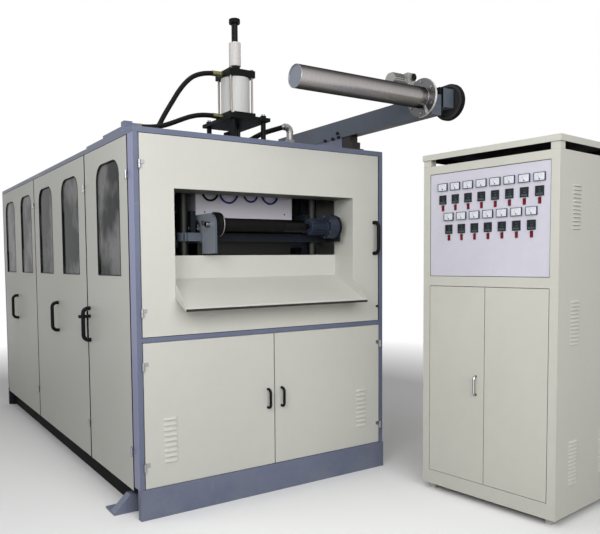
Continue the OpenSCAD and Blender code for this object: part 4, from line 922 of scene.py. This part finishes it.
def addFrontDoor(node, s):
    hinge = joints[node + "_hinge"]["pos_m"]
    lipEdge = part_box(node)[0][1]
    lipCut = roofZ - s["lipDown"]

    def sortPart(low, high):
        if high[0] - low[0] > s["leaf"]:
            return "leaf"
        return "grip" if high[2] - low[2] > 0.1 else "lock"

    def paint(c):
        if onKnuckle(c, hinge, 0):
            return "hingeSteel"
        # the lower part of the tray's lip is painted dark brown as painted shade under the lip
        if c[1] < lipEdge + 1 * mm and c[2] < lipCut:
            return "mountBrown"
        # the inside of the duct is painted near black as painted shade
        return "ductCream" if c[1] > frontY + s["ductIn"] and c[2] > roofZ - s["ductDown"] else None

    lock = {"lock": (node + "_lock", "blackGrip", "chrome")}
    addDoor(node, 1, 1.6 * mm, sortPart, paint, lock, [((0, 0, lipCut), (0, 0, 1))])


def addLowerDoor(node, sign, s, vents):
    hinge = joints[node + "_hinge"]["pos_m"]

    def sortPart(low, high):
        return "leaf" if high[0] - low[0] > s["leaf"] else "grip"

    def paint(c):
        return "hingeSteel" if onKnuckle(c, hinge, 0) else None

    def proud(c):
        # the plain louvres of the CAD solid
        return c[1] < frontY - 0.2 * mm and 0.3 < abs(c[0]) < abs(hinge[0]) - 60 * mm

    addDoor(node, 1, 1.6 * mm, sortPart, paint, proud=proud)
    startX = leftX + vents["fromEdge"] if sign < 0 else rightX - vents["fromEdge"] - vents["width"]
    place = Matrix.Translation((startX, frontY, skirtTop + vents["aboveSkirt"]))
    addLouvres(node + "_louvre", node, place, vents, "panelCream")


sealSettings = {"wall": 5 * mm, "lip": 1.5 * mm, "gap": 0.2 * mm, "corner": 100 * mm}


def addSideDoor(node, s):
    hinge = joints[node + "_hinge"]["pos_m"]
    joint = hinge[1] + s["joint"]  # a band along the hinged edge is painted dark, as painted shade of the gap

    def sortPart(low, high):
        if high[1] - low[1] > s["leaf"]:
            return "leaf"
        return "grip" if low[0] < leftX - 10 * mm else "glass"

    def paint(c):
        if onKnuckle(c, hinge, 1):
            return "hingeSteel"
        return "shadeBlue" if c[1] < joint else None

    panes = {"glass": (node + "_panes", "windowGlass", "panel_paint")}
    boxes, middle = addDoor(node, 0, 1.4 * mm, sortPart, paint, panes, [((0, joint, 0), (0, 1, 0))])
    if node == "side_door_front":
        addLatch(node, middle, latchSettings)
    bm = bmesh.new()
    for low, high in boxes["glass"]:
        addSeal(bm, low, high, sealSettings)
    addPiece(node + "_seals", meshFrom(bm), node, "windowSeal", bevel=0.6 * mm)


def windowLoop(low, high, shrink, corner, steps=8):
    # outline of a window with two round upper corners, as (y, z) pairs
    y0, y1 = low[1] + shrink, high[1] - shrink
    z0, z1 = low[2] + shrink, high[2] - shrink
    r = corner - shrink
    arc = [math.pi / 2 * k / steps for k in range(steps + 1)]
    right = [(y1 - r + r * math.cos(a), z1 - r + r * math.sin(a)) for a in arc]
    left = [(y0 + r - r * math.sin(a), z1 - r + r * math.cos(a)) for a in arc]
    return [(y0, z0), (y1, z0)] + right + left


def addSeal(bm, low, high, s):
    # a rubber frame in front of the pane: four loops joined into a closed ring
    back, front = low[0], leftX - s["lip"]
    outer = windowLoop(low, high, s["gap"], s["corner"])
    inner = windowLoop(low, high, s["wall"], s["corner"])
    part = bmesh.new()
    loops = [[part.verts.new((x, y, z)) for y, z in line]
             for x, line in ((back, outer), (front, outer), (front, inner), (back, inner))]
    for first, second in zip(loops, loops[1:] + loops[:1]):
        for k in range(len(first)):
            n = (k + 1) % len(first)
            part.faces.new((first[k], first[n], second[n], second[k]))
    addPart(bm, part)


addFrontDoor("front_door", doorSettings)
addLowerDoor("lower_door_left", -1, doorSettings, louvreSettings)
addLowerDoor("lower_door_right", 1, doorSettings, louvreSettings)
for door in ("side_door_front", "side_door_middle", "side_door_rear"):
    addSideDoor(door, doorSettings)
print("doors made")


# press, heaters and sheet feed inside the machine
# inside the machine the upper platen, lift cylinder and chain rails are painted near black blue, the columns
# dark steel and the lower platen darkened aluminium, all as painted shade
for node, material, slot, bevel in (
        ("press_columns", "columnSteel", "bright_steel", 1),
        ("upper_platen", "shadeBlue", "frame_paint", 2),
        ("cooling_box", "boxWhite", "white_paint", 1.5),
        ("lift_cylinder", "shadeBlue", "frame_paint", 2),
        ("chain_rails", "shadeBlue", "frame_paint", 1),
        ("chain_motor", "motorBlue", "motor_paint", 2)):
    refineWhole(node, material, slot, bevel=bevel * mm)
refineWhole("lower_platen", "mouldAluminium", "aluminium", "lower_platen")
for node in ("chain_shaft_front", "chain_shaft_rear"):
    refineWhole(node, "shaftSteel", "bright_steel", node, 0.6 * mm)

# right and deep are how far the front paint of the roller's bracket reaches, with the cheek's outer face
# painted lighter as painted light; behind them the bracket stays near black as painted shade
bracketSettings = {"cheekIn": 26 * mm, "cheek": 16 * mm, "right": -0.35, "deep": 0.48}
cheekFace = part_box("pull_roller")[0][0] + bracketSettings["cheekIn"]  # outer face of the left cheek


def bracketPaint(c):
    if c[0] > bracketSettings["right"] or c[1] > frontY + bracketSettings["deep"]:
        return None
    # the cheek's outer face is painted lighter as painted light
    return "cheekGrey" if abs(c[0] - cheekFace) < 1 * mm else "armBlue"


refineWhole("roller_bracket", "shadeBlue", "frame_paint", bevel=1 * mm, paint=bracketPaint)

heaterSettings = {"under": 24 * mm, "over": 35 * mm, "half": 0.36}
heaterLow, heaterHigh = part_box("heater_banks")


def heaterPaint(c):
    # the ceramic tiles between the two trays
    s = heaterSettings
    isTile = heaterLow[2] + s["under"] < c[2] < heaterHigh[2] - s["over"] and abs(c[0]) < s["half"]
    return "heaterClay" if isTile else None


# the heater trays take the aluminium darkened as painted shade
refineWhole("heater_banks", "mouldAluminium", "aluminium", bevel=1 * mm, paint=heaterPaint)

boxScrewSettings = {"across": 10 * mm, "height": 4 * mm, "inset": 60 * mm, "lift": 33 * mm}


def addBoxScrews(s):
    # domed screws at the lower corners of the white box
    low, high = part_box("cooling_box")
    bm = bmesh.new()
    r = s["across"] / 2
    profile = [(r, 0.2 * mm), (r, 1 * mm), (r * 0.8, s["height"] * 0.8), (r * 0.35, s["height"]),
               (r * 0.3, s["height"] * 0.6), (0, s["height"] * 0.6)]
    addLathe(bm, profile, (low[0] + s["inset"], low[1], low[2] + s["lift"]), (0, -1, 0), 12)
    step = (high[0] - low[0] - 2 * s["inset"], 0, 0)
    addRows("cooling_box_screws", bm, 2, step, "blackedSteel")


addBoxScrews(boxScrewSettings)

rollerSettings = {"tyre": 47.5 * mm, "disc": 52 * mm, "core": 44 * mm, "shaft": 16 * mm,
                  "steelFrom": 140 * mm}
rollerAxis = joints["pull_roller_spin"]["pos_m"]


def awayFrom(axis, c):
    # distance from an axis that runs along X
    return math.hypot(c[1] - axis[1], c[2] - axis[2])


def rollerPaint(c):
    s = rollerSettings
    along = c[0] - cheekFace - bracketSettings["cheek"]
    away = awayFrom(rollerAxis, c)
    if c[0] < cheekFace + 1 * mm:
        return "chrome"
    if along < s["tyre"] and away > s["core"]:
        return "blackRubber"
    if along < s["disc"] and away > s["core"]:
        return "satinDisc"
    return "blackedSteel" if away < s["shaft"] or c[0] > s["steelFrom"] else "blackRubber"


refineWhole("pull_roller", "blackRubber", "black_rubber", "pull_roller", 0.8 * mm, rollerPaint,
            [((rollerSettings["steelFrom"], 0, 0), (1, 0, 0))])


def addFins(name, s, x, y, z, bevel, material):
    # flat ribs round a drum that lies along X
    half = s["thick"] / 2
    bm = blockOf((x + s["from"], y - half, z + s["radius"] - 1 * mm),
                 (x + s["to"], y + half, z + s["radius"] + s["rise"]), bevel)
    addRing(name, bm, s["fins"], (0, y, z), material)


def addBoltRing(name, s, x, y, z, body):
    # hexagon heads in a circle about an axis along X
    bm = bmesh.new()
    addHex(bm, s["across"], s["height"], (x, y, z + s["boltCircle"]), (1, 0, 0))
    addRing(name, bm, s["bolts"], (0, y, z), "boltSteel", body)


rollerMotorSettings = {"fins": 28, "rise": 9 * mm, "thick": 2 * mm, "from": 8 * mm, "to": 112 * mm,
                       "radius": 45 * mm, "lid": 19 * mm, "lidCore": 60 * mm, "rim": 72.5 * mm,
                       "bolts": 6, "boltAt": 125 * mm, "boltCircle": 66 * mm, "across": 12 * mm,
                       "height": 5 * mm}


def addRollerMotor(s):
    low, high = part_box("roller_motor")

    def paint(c):
        away = awayFrom(rollerAxis, c)
        if c[0] > high[0] - s["lid"] and away > s["lidCore"]:
            return "darkEnamel"
        return "satinDisc" if away > s["rim"] and c[0] > high[0] - s["lid"] - 2 * mm else None

    refineWhole("roller_motor", "motorBlue", "motor_paint", bevel=1.5 * mm, paint=paint)
    y, z = rollerAxis[1:]
    addFins("roller_motor_fins", s, low[0], y, z, 0.5 * mm, "motorBlue")
    addBoltRing("roller_motor_bolts", s, low[0] + s["boltAt"], y, z, "root")


addRollerMotor(rollerMotorSettings)

# places are depths behind the front and heights above the roller's axis
cheekBolts = {"across": 22 * mm, "height": 9 * mm, "washer": 2 * mm,
              "places": [(0.175, 0.012), (0.235, -0.028)]}


def addCheekBolts(s):
    # hexagon heads and washers on the outside of the left cheek
    bm = bmesh.new()
    r = s["across"] * 0.62
    washer = [(r - 0.4 * mm, 0.2 * mm), (r, 0.6 * mm), (r, 1.8 * mm), (r - 0.4 * mm, 2.2 * mm)]
    for y, z in s["places"]:
        spot = Vector((cheekFace, frontY + y, rollerAxis[2] + z))
        addLathe(bm, washer, spot, (-1, 0, 0), 24)
        addHex(bm, s["across"], s["height"], spot - Vector((s["washer"], 0, 0)), (-1, 0, 0))
    addPiece("cheek_bolts", meshFrom(bm), "root", "boltSteel")


addCheekBolts(cheekBolts)
print("press and feed made")


# roof cylinder
def addCylinder():
    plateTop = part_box("cylinder_plate")[1][2]
    nutHeight = 11.5 * mm

    def platePaint(c):
        return "boltSteel" if c[2] > plateTop - nutHeight else None

    refineWhole("cylinder_plate", "darkEnamel", "black_steel", bevel=1.5 * mm, paint=platePaint)
    refineWhole("cylinder_tube", "barrelGrey", "aluminium", bevel=1 * mm)
    refineWhole("stroke_sleeve", "sleeveWhite", "white_nylon", bevel=5 * mm)

    def sortPart(low, high):
        if high[0] - low[0] > 0.1:
            return "heads"
        return "rods" if high[2] - low[2] > 0.1 else "nuts"

    refine("cylinder_heads", "root", sortPart, {
        "heads": ("cylinder_heads_finished", "darkEnamel", "black_steel"),
        "rods": ("tie_rods", "rodWarm", "bright_steel"),
        "nuts": ("tie_rod_nuts", "boltSteel", "bright_steel"),
    }, 1.5 * mm)


addCylinder()

knobSettings = {"ribs": 24, "radius": 35 * mm, "height": 22 * mm, "thick": 3 * mm, "reach": 0.9 * mm,
                "drop": 2.5 * mm, "knob": 30 * mm, "rod": 22 * mm}


def addRodKnob(s):
    # the rod with its knob, and grip ribs round the knob
    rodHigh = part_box("plug_rod")[1][2]

    def paint(c):
        if c[2] > rodHigh - s["knob"]:
            return "darkEnamel"
        return "blackedSteel" if math.hypot(c[0] - cylinderX, c[1] - pressY) < s["rod"] else None

    # the rest of the rod takes the aluminium darkened as painted shade
    refineWhole("plug_rod", "mouldAluminium", "black_steel", "plug_rod", 1.5 * mm, paint)
    top = rodHigh - s["drop"]
    bm = blockOf((cylinderX + s["radius"] - 1 * mm, pressY - s["thick"] / 2, top - s["height"]),
                 (cylinderX + s["radius"] + s["reach"], pressY + s["thick"] / 2, top), 0.4 * mm)
    centre = (cylinderX, pressY, 0)
    addRing("plug_knob_ribs", bm, s["ribs"], centre, "darkEnamel", "plug_rod", (0, 0, 1))


addRodKnob(knobSettings)

# borders between the fittings: along X, and above the roof for the ports
fittingSettings = {"elbowFrom": 0.3, "portsOver": 0.15, "blocksFrom": -0.2, "footFrom": -0.65}


def addFittings(s):
    def sortPart(low, high):
        middle = (low[0] + high[0]) / 2
        if middle > s["elbowFrom"]:
            return "elbow"
        if low[2] > roofZ + s["portsOver"]:
            return "ports"
        if middle > s["blocksFrom"]:
            return "blocks"
        return "foot" if middle > s["footFrom"] else "hoseEnd"

    looks = {"elbow": ("air_elbow", "motorAluminium"), "blocks": ("air_blocks", "darkEnamel"),
             "ports": ("air_ports", "zincYellow"), "foot": ("air_hose_foot", "blackedSteel"),
             "hoseEnd": ("air_hose_socket", "frameBlue")}
    groups = {key: (*look, "bright_steel") for key, look in looks.items()}
    refine("air_fittings", "root", sortPart, groups, 1 * mm)


addFittings(fittingSettings)
print("roof cylinder made")


# scrap winder
winderAxis = joints["winder_spin"]["pos_m"]
armSettings = {"beamUp": 140 * mm, "saddleIn": 322 * mm, "outer": 22.5 * mm, "inner": 80.3 * mm,
               "bore": 21 * mm, "clear": 0.5 * mm}


def addWinderArm(s):
    beamZ = roofZ + s["beamUp"]
    saddleY = frontY + s["saddleIn"]

    def sortPart(low, high):
        return "arm" if high[1] - low[1] > 0.5 else "bearing"

    def paint(c):
        if c[0] > rightX + s["outer"]:
            return "armBlue"
        if c[0] > rightX + 0.2 * mm:
            return None
        if c[0] < rightX - s["inner"]:
            return "blackedSteel"
        if c[2] > beamZ + 0.5 * mm:
            return "armBlue"
        if c[1] < saddleY + 1 * mm:
            return "shadeBlue" if c[2] > beamZ - 0.5 * mm else "mountBrown"
        return "saddleLilac" if c[2] < beamZ - 2 * mm else "shadeBlue"

    made = refine("winder_arm", "root", sortPart, {
        "arm": ("winder_arm_beam", "armBlue", "frame_paint"),
        "bearing": ("winder_bearing", "darkEnamel", "frame_paint"),
    }, 2 * mm, paint)[0]
    for piece in made.values():
        for v in piece.data.vertices:  # the bore stands clear of the turning shaft
            away = Vector((0, v.co[1] - winderAxis[1], v.co[2] - winderAxis[2]))
            if away.length < s["bore"]:
                v.co += away.normalized() * s["clear"]


addWinderArm(armSettings)
refineWhole("winder_belt", "blackRubber", "black_rubber", bevel=0.8 * mm)
refineWhole("winder_pinion", "blackedSteel", "black_rubber", "winder_pinion", 1 * mm)

flangeSettings = {"inFromSide": 104 * mm, "thick": 15 * mm, "hub": 21 * mm, "capRim": 54 * mm,
                  "wheelOut": 110 * mm, "bolts": 6, "boltCircle": 92 * mm, "across": 13 * mm,
                  "height": 6 * mm}


def addWinderRoller(s):
    # the roller with its end cap, flange disc and belt wheel, and the bolts on the disc beside the roller
    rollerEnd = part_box("winder_roller")[0][0]
    flangeX = rightX - s["inFromSide"]

    def paint(c):
        away = awayFrom(winderAxis, c)
        if c[0] < rollerEnd + 5 * mm:
            return "satinDisc" if away > s["capRim"] else "flangeBlue"
        if c[0] < flangeX - 0.5 * mm:
            return None
        if c[0] < flangeX + s["thick"] and away > s["hub"]:
            return "frostedDisc"
        return "shaftSteel" if c[0] < rightX + s["wheelOut"] else "wheelGrey"

    refineWhole("winder_roller", "brushedRoller", "bright_steel", "winder_roller", 1.5 * mm, paint)
    y, z = winderAxis[1:]
    addBoltRing("winder_flange_bolts", s, flangeX - s["height"] - 0.1 * mm, y, z, "winder_roller")


addWinderRoller(flangeSettings)

winderMotorSettings = {"fins": 20, "rise": 6 * mm, "thick": 1.8 * mm, "radius": 38 * mm, "from": 12 * mm,
                       "to": 88 * mm, "down": 43 * mm, "fan": 57 * mm}


def addWinderMotor(s):
    low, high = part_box("winder_motor")
    y = joints["winder_pinion_spin"]["pos_m"][1]

    def paint(c):
        return "darkEnamel" if c[1] < y - s["fan"] else None

    refineWhole("winder_motor", "motorAluminium", "aluminium", bevel=3 * mm, paint=paint)
    addFins("winder_motor_fins", s, low[0], y, high[2] - s["down"], 0.4 * mm, "motorAluminium")


addWinderMotor(winderMotorSettings)
print("winder made")


# control cabinet
switchAxis = Vector(joints["heater_switch_1_press"]["axis"])
cabAcross = Vector((-switchAxis[0], -switchAxis[1], 0)).normalized()
cabOut = Vector((cabAcross[1], -cabAcross[0], 0))


def cabinetPlace():
    # the cabinet's own frame: X across the front, -Y out of it, origin on the floor below its middle
    doors = [v.co for side in ("left", "right") for v in nodes["cabinet_door_" + side].data.vertices]
    across = [v.dot(cabAcross) for v in doors]
    shell = [v.co.dot(cabOut) for v in nodes["cabinet_shell"].data.vertices]
    origin = cabAcross * (min(across) + max(across)) / 2 + cabOut * max(shell)
    turn = Matrix((cabAcross, -cabOut, Vector((0, 0, 1)))).transposed().to_4x4()
    return Matrix.Translation(origin) @ turn


cabinet = cabinetPlace()
toCabinet = cabinet.inverted()


def cabinetBox(node):
    return boxOf(toCabinet @ v.co for v in nodes[node].data.vertices)


def alongCabinet(x, y):
    # a step in the cabinet's own frame, turned into the shared one
    return cabinet.to_3x3() @ Vector((x, y, 0))


shellHigh = cabinetBox("cabinet_shell")[1]
shellTop = shellHigh[2]
# groups are the heights of the topmost louvres
cabinetLouvres = {"width": 90 * mm, "drop": 11 * mm, "proud": 6 * mm, "pitch": 20 * mm, "count": 12,
                  "fromEdge": 135 * mm, "groups": (shellTop - 166 * mm, 1.168, 0.430), "hollowFrom": 36 * mm}


def addCabinet(s):
    half = shellHigh[0] - s["proud"]
    capLow, capHigh = cabinetBox("cabinet_cap")

    def proud(c):
        return abs((toCabinet @ c)[0]) > half + 0.2 * mm

    def shadeTop(c):
        # the top of the shell under the cap is painted black as painted shade
        return "slitBlack" if c[2] > shellTop - 0.5 * mm else None

    def shadeCap(c):
        # the hollow under the cap, painted black as painted shade
        local = toCabinet @ c
        inside = abs(local[0]) < capHigh[0] - 1 * mm and capLow[1] + 1 * mm < local[1] < capHigh[1] - 1 * mm
        return "slitBlack" if inside and shellTop + s["hollowFrom"] < c[2] < capHigh[2] - 2 * mm else None

    refineWhole("cabinet_shell", "cabinetCream", "cabinet_paint", bevel=2 * mm, paint=shadeTop, proud=proud,
                name="cabinet_body")
    refineWhole("cabinet_cap", "cabinetCream", "cabinet_paint", bevel=2 * mm, paint=shadeCap)
    step = alongCabinet(0, shellHigh[1] - 2 * s["fromEdge"] - s["width"])
    for side, name in ((1, "near"), (-1, "far")):
        turn = Matrix.Rotation(math.radians(90 * side), 4, "Z")
        along = s["fromEdge"] if side > 0 else s["fromEdge"] + s["width"]
        for number, z in enumerate(s["groups"], 1):
            place = cabinet @ Matrix.Translation((side * half, along, z)) @ turn
            addLouvres("cabinet_%s_louvre_%d" % (name, number), "root", place, s, "cabinetCream",
                       2, step)


addCabinet(cabinetLouvres)

cabinetGrip = {"across": -50 * mm, "proud": 28 * mm, "thick": 10 * mm}


def addCabinetDoor(node, s):
    def sortPart(low, high):
        return "leaf" if high[2] - low[2] > 0.5 else "grip"

    groups = {"leaf": (node + "_leaf", "cabinetCream", "cabinet_paint")}
    for low, high in refine(node, node, sortPart, groups, 1.5 * mm)[1].get("grip", ()):
        middle = cabinet @ Vector((s["across"], 0, (low[2] + high[2]) / 2))
        addGrip(node, middle, cabOut, high[2] - low[2], s["proud"], s["thick"], "chrome")


for door in ("cabinet_door_left", "cabinet_door_right"):
    addCabinetDoor(door, cabinetGrip)
refineWhole("instrument_panel", "dialLilac", "instrument_paint", bevel=0.5 * mm)
refineWhole("contactor_plate", "boltSteel", "aluminium", bevel=1 * mm)


# instruments, built in the cabinet's own frame
def localBoxes(node):
    # boxes of a node's solids, row by row from the top
    bm = mergedCopy(node)
    bm.transform(toCabinet)
    boxes = [partBox(part) for part in looseParts(bm)]
    bm.free()
    return sorted(boxes, key=lambda b: (-round(b[0][2], 2), b[0][0]))


def placeRows(name, build, boxes, material, node=None):
    # one item repeated along each row of instruments
    rows = {}
    for box in boxes:
        rows.setdefault(round(box[0][2], 2), []).append(box)
    for number, row in enumerate(rows.values(), 1):
        bm = bmesh.new()
        build(bm, *row[0])
        bm.transform(cabinet)
        step = alongCabinet(row[1][0][0] - row[0][0][0], 0)
        made = addRows("%s_row_%d" % (name, number), bm, len(row), step, material)
        if node:
            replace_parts(made, node)


def addFrame(bm, low, high, border, front, back, bevel):
    # four bars round a rectangle
    x0, x1, z0, z1 = low[0], high[0], low[2], high[2]
    lap = border * 0.8
    for xa, za, xb, zb in ((x0, z0, x1, z0 + border), (x0, z1 - border, x1, z1),
                           (x0, z0 + lap, x0 + border, z1 - lap), (x1 - border, z0 + lap, x1, z1 - lap)):
        addBlock(bm, (xa, front, za), (xb, back, zb), bevel)


def placeFrames(name, boxes, border, front, back, bevel, material, node=None):
    def build(bm, low, high):
        addFrame(bm, low, high, border, front, back, bevel)

    placeRows(name, build, boxes, material, node)


meterSettings = {"border": 2.8 * mm, "recess": 2.0 * mm, "ticks": 9, "sweep": 84, "radius": 24 * mm,
                 "longTick": 3.6 * mm, "shortTick": 2.2 * mm, "needle": 0.35, "needleEnd": 4.5 * mm,
                 "line": 0.8 * mm, "centreUp": 10 * mm}


def addMeters(s):
    boxes = localBoxes("panel_meters")
    front, back = boxes[0][0][1], boxes[0][1][1]
    plate = front + s["recess"]

    def card(bm, a, b):
        inset = s["border"] * 0.6
        addBlock(bm, (a[0] + inset, plate, a[2] + inset), (b[0] - inset, back, b[2] - inset), 0.2 * mm)

    def marks(bm, a, b):
        # a scale of ticks, a needle and its hub
        centre = Vector(((a[0] + b[0]) / 2, 0, a[2] + s["centreUp"]))
        y0, y1 = plate - 0.3 * mm, plate + 0.1 * mm

        def turned(degrees):
            return Matrix.Translation(centre) @ Matrix.Rotation(math.radians(degrees), 4, "Y")

        for k in range(s["ticks"]):
            tall = s["shortTick"] if k % 2 else s["longTick"]
            addBlock(bm, (-s["line"] / 2, y0, s["radius"] - tall), (s["line"] / 2, y1, s["radius"]), 0,
                     turned(s["sweep"] * (k / (s["ticks"] - 1) - 0.5)))
        addBlock(bm, (-s["line"] * 0.6, y0 - 0.2 * mm, -3 * mm),
                 (s["line"] * 0.6, y1, s["radius"] - s["needleEnd"]), 0, turned(-s["sweep"] * s["needle"]))
        addLathe(bm, [(3.4 * mm, 0), (3.4 * mm, 1.0 * mm), (2.6 * mm, 1.4 * mm)],
                 centre + Vector((0, y1, 0)), (0, -1, 0), 16)

    placeFrames("meter_bezels", boxes, s["border"], front, back, 0.7 * mm, "meterBlue",
                "panel_meters")
    placeRows("meter_cards", card, boxes, "meterCard")
    placeRows("meter_marks", marks, boxes, "dialBlack")


addMeters(meterSettings)

controllerSettings = {
    "border": 4 * mm, "glassIn": 1.2 * mm, "glassInset": 2 * mm,
    "digits": {"height": 6 * mm, "width": 3.6 * mm, "line": 0.8 * mm, "pitch": 5.6 * mm, "slant": 0.12},
    "upper": ("180", 13 * mm), "lower": ("175", 27 * mm),  # shown number and its drop from the top edge
    "keys": 4, "keyWide": 6 * mm, "keyInset": 6.5 * mm, "keyLow": 6 * mm, "keyHigh": 10 * mm,
    "stripInset": 5 * mm, "stripLow": 12.4 * mm, "stripHigh": 14.4 * mm}
segmentsOf = {"0": "abcdef", "1": "bc", "5": "acdfg", "7": "abc", "8": "abcdefg"}


def addDigits(bm, text, centre, y, s):
    # plain seven-bar numbers, leaning a little
    w, h, half = s["width"], s["height"] / 2, s["line"] / 2
    bars = {"a": (0, 2 * h, w, 0), "g": (0, h, w, 0), "d": (0, 0, w, 0),
            "f": (0, h, 0, h), "b": (w, h, 0, h), "e": (0, 0, 0, h), "c": (w, 0, 0, h)}
    for index, digit in enumerate(text):
        left = centre[0] + (index - (len(text) - 1) / 2) * s["pitch"] - w / 2
        for key in segmentsOf[digit]:
            x, z, dx, dz = bars[key]
            x += left + (z + dz / 2 - h) * s["slant"]
            z += centre[1] - h
            wide, tall = half * (dz > 0), half * (dx > 0)
            addBlock(bm, (x - wide, y - 0.25 * mm, z - tall), (x + dx + wide, y + 0.1 * mm, z + dz + tall))


def addControllers(s):
    boxes = localBoxes("temperature_controllers")
    front, back = boxes[0][0][1], boxes[0][1][1]
    glass = front + s["glassIn"]

    def face(bm, a, b):
        inset = s["glassInset"]
        addBlock(bm, (a[0] + inset, glass, a[2] + inset), (b[0] - inset, back, b[2] - inset), 0.3 * mm)

    def digits(text, drop):
        def build(bm, a, b):
            addDigits(bm, text, ((a[0] + b[0]) / 2, b[2] - drop), glass, s["digits"])
        return build

    def keys(bm, a, b):
        addBlock(bm, (a[0] + s["stripInset"], glass - 0.3 * mm, a[2] + s["stripLow"]),
                 (b[0] - s["stripInset"], glass + 0.2 * mm, a[2] + s["stripHigh"]))
        first = a[0] + s["keyInset"]
        pitch = (b[0] - a[0] - 2 * s["keyInset"] - s["keyWide"]) / (s["keys"] - 1)
        for k in range(s["keys"]):
            x = first + k * pitch
            addBlock(bm, (x, glass - 0.8 * mm, a[2] + s["keyLow"]),
                     (x + s["keyWide"], glass + 0.2 * mm, a[2] + s["keyHigh"]), 0.3 * mm)

    placeFrames("controller_bezels", boxes, s["border"], front, back, 0.8 * mm, "dialBlack",
                "temperature_controllers")
    placeRows("controller_faces", face, boxes, "slateBlack")
    placeRows("controller_upper_digits", digits(*s["upper"]), boxes, "digitRed")
    placeRows("controller_lower_digits", digits(*s["lower"]), boxes, "digitGreen")
    placeRows("controller_keys", keys, boxes, "keyGrey")


addControllers(controllerSettings)

rockerSettings = {"half": Vector((8.6 * mm, 0, 15.7 * mm)), "border": 1.3 * mm, "proud": 1.4 * mm}
panelLow, panelHigh = cabinetBox("instrument_panel")


def addPanelEdge():
    # dark joint round the instrument panel
    bm = bmesh.new()
    addFrame(bm, panelLow, panelHigh, 2.2 * mm, panelLow[1] - 0.4 * mm, panelLow[1] + 0.2 * mm, 0.1 * mm)
    bm.transform(cabinet)
    addPiece("instrument_panel_joint", meshFrom(bm), "root", "slitBlack")


def addRockers(s):
    count = sum(1 for name in nodes if name.startswith("heater_switch_"))
    boxes = []
    for number in range(1, count + 1):
        node = "heater_switch_%d" % number
        refineWhole(node, "switchRed", "red_plastic", node, 1.0 * mm)
        spot = toCabinet @ Vector(joints[node + "_press"]["pos_m"])
        boxes.append((spot - s["half"], spot + s["half"]))
    placeFrames("rocker_bezels", boxes, s["border"], panelLow[1] - s["proud"], panelLow[1], 0.3 * mm,
                "dialBlack")


addPanelEdge()
addRockers(rockerSettings)
print("cabinet made")


# floor, backdrop and light
lightSettings = {
    "ambient": 0.19,
    "bounce": 0.35,  # how much light the floor gives back
    "seenFloor": 0.88,  # how bright it looks
    "clearFrom": 3.2, "clearTo": 6.5,  # where the floor runs out into white
    "key": {"place": (-1.1, -6.8, 3.2), "aim": (0.3, -1.9, 0.9), "size": 4.0, "power": 168},
    "fill": {"place": (-2.3, -3.7, 2.3), "aim": (1.3, -2.8, 1.0), "size": 1.4, "power": 44},
    "side": {"place": (-3.0, -0.6, 4.4), "aim": (-0.9, -0.4, 1.9), "size": 1.6, "power": 26},
    "top": {"place": (-0.5, -1.5, 7.5), "aim": (0, -0.8, 0), "size": 6.0, "power": 120},
}


def addLamp(name, s):
    data = bpy.data.lights.new(name, "AREA")
    data.size = s["size"]
    data.energy = s["power"]
    lamp = bpy.data.objects.new(name, data)
    lamp.location = s["place"]
    lamp.rotation_euler = (Vector(s["aim"]) - Vector(s["place"])).to_track_quat("-Z", "Y").to_euler()
    scene.collection.objects.link(lamp)


def whiteWhenSeen(tree):
    # 1 where the camera, a reflection or a refraction looks, else 0
    path = addNode(tree, "ShaderNodeLightPath").outputs
    seen = maths(tree, "MAXIMUM", path["Is Camera Ray"], path["Is Glossy Ray"])
    return maths(tree, "MAXIMUM", seen, path["Is Transmission Ray"])


def addWorld(s):
    world = bpy.data.worlds.new("studio")
    scene.world = world
    world.use_nodes = True
    tree = world.node_tree
    background = tree.nodes["Background"]
    background.inputs["Color"].default_value = (1, 1, 1, 1)
    strength = spread(tree, whiteWhenSeen(tree), 0.0, 1.0, s["ambient"], 1.0)
    tree.links.new(strength, background.inputs["Strength"])


def addFloor(s):
    bm = bmesh.new()
    bmesh.ops.create_grid(bm, x_segments=1, y_segments=1, size=30)
    floor = bpy.data.objects.new("floor", meshFrom(bm, "floor"))
    scene.collection.objects.link(floor)
    material = bpy.data.materials.new("paleFloor")
    material.use_nodes = True
    tree = material.node_tree
    shader = tree.nodes["Principled BSDF"]
    shade = spread(tree, whiteWhenSeen(tree), 0.0, 1.0, s["bounce"], s["seenFloor"])
    tree.links.new(shade, shader.inputs["Base Color"])
    shader.inputs["Roughness"].default_value = 0.9
    place = addNode(tree, "ShaderNodeTexCoord").outputs["Object"]
    distance = addNode(tree, "ShaderNodeVectorMath", {0: place}, operation="LENGTH").outputs["Value"]
    far = spread(tree, distance, s["clearFrom"], s["clearTo"])
    clear = maths(tree, "MULTIPLY", far, whiteWhenSeen(tree))
    glow = addNode(tree, "ShaderNodeEmission", {"Color": (1, 1, 1, 1), "Strength": 1.0})
    blend = addNode(tree, "ShaderNodeMixShader", {0: clear, 1: shader.outputs[0], 2: glow.outputs[0]})
    tree.links.new(blend.outputs[0], tree.nodes["Material Output"].inputs["Surface"])
    floor.data.materials.append(material)


for lampName in ("key", "fill", "side", "top"):
    addLamp(lampName, lightSettings[lampName])
addWorld(lightSettings)
addFloor(lightSettings)
scene.view_settings.view_transform = "Standard"

print("scene made")
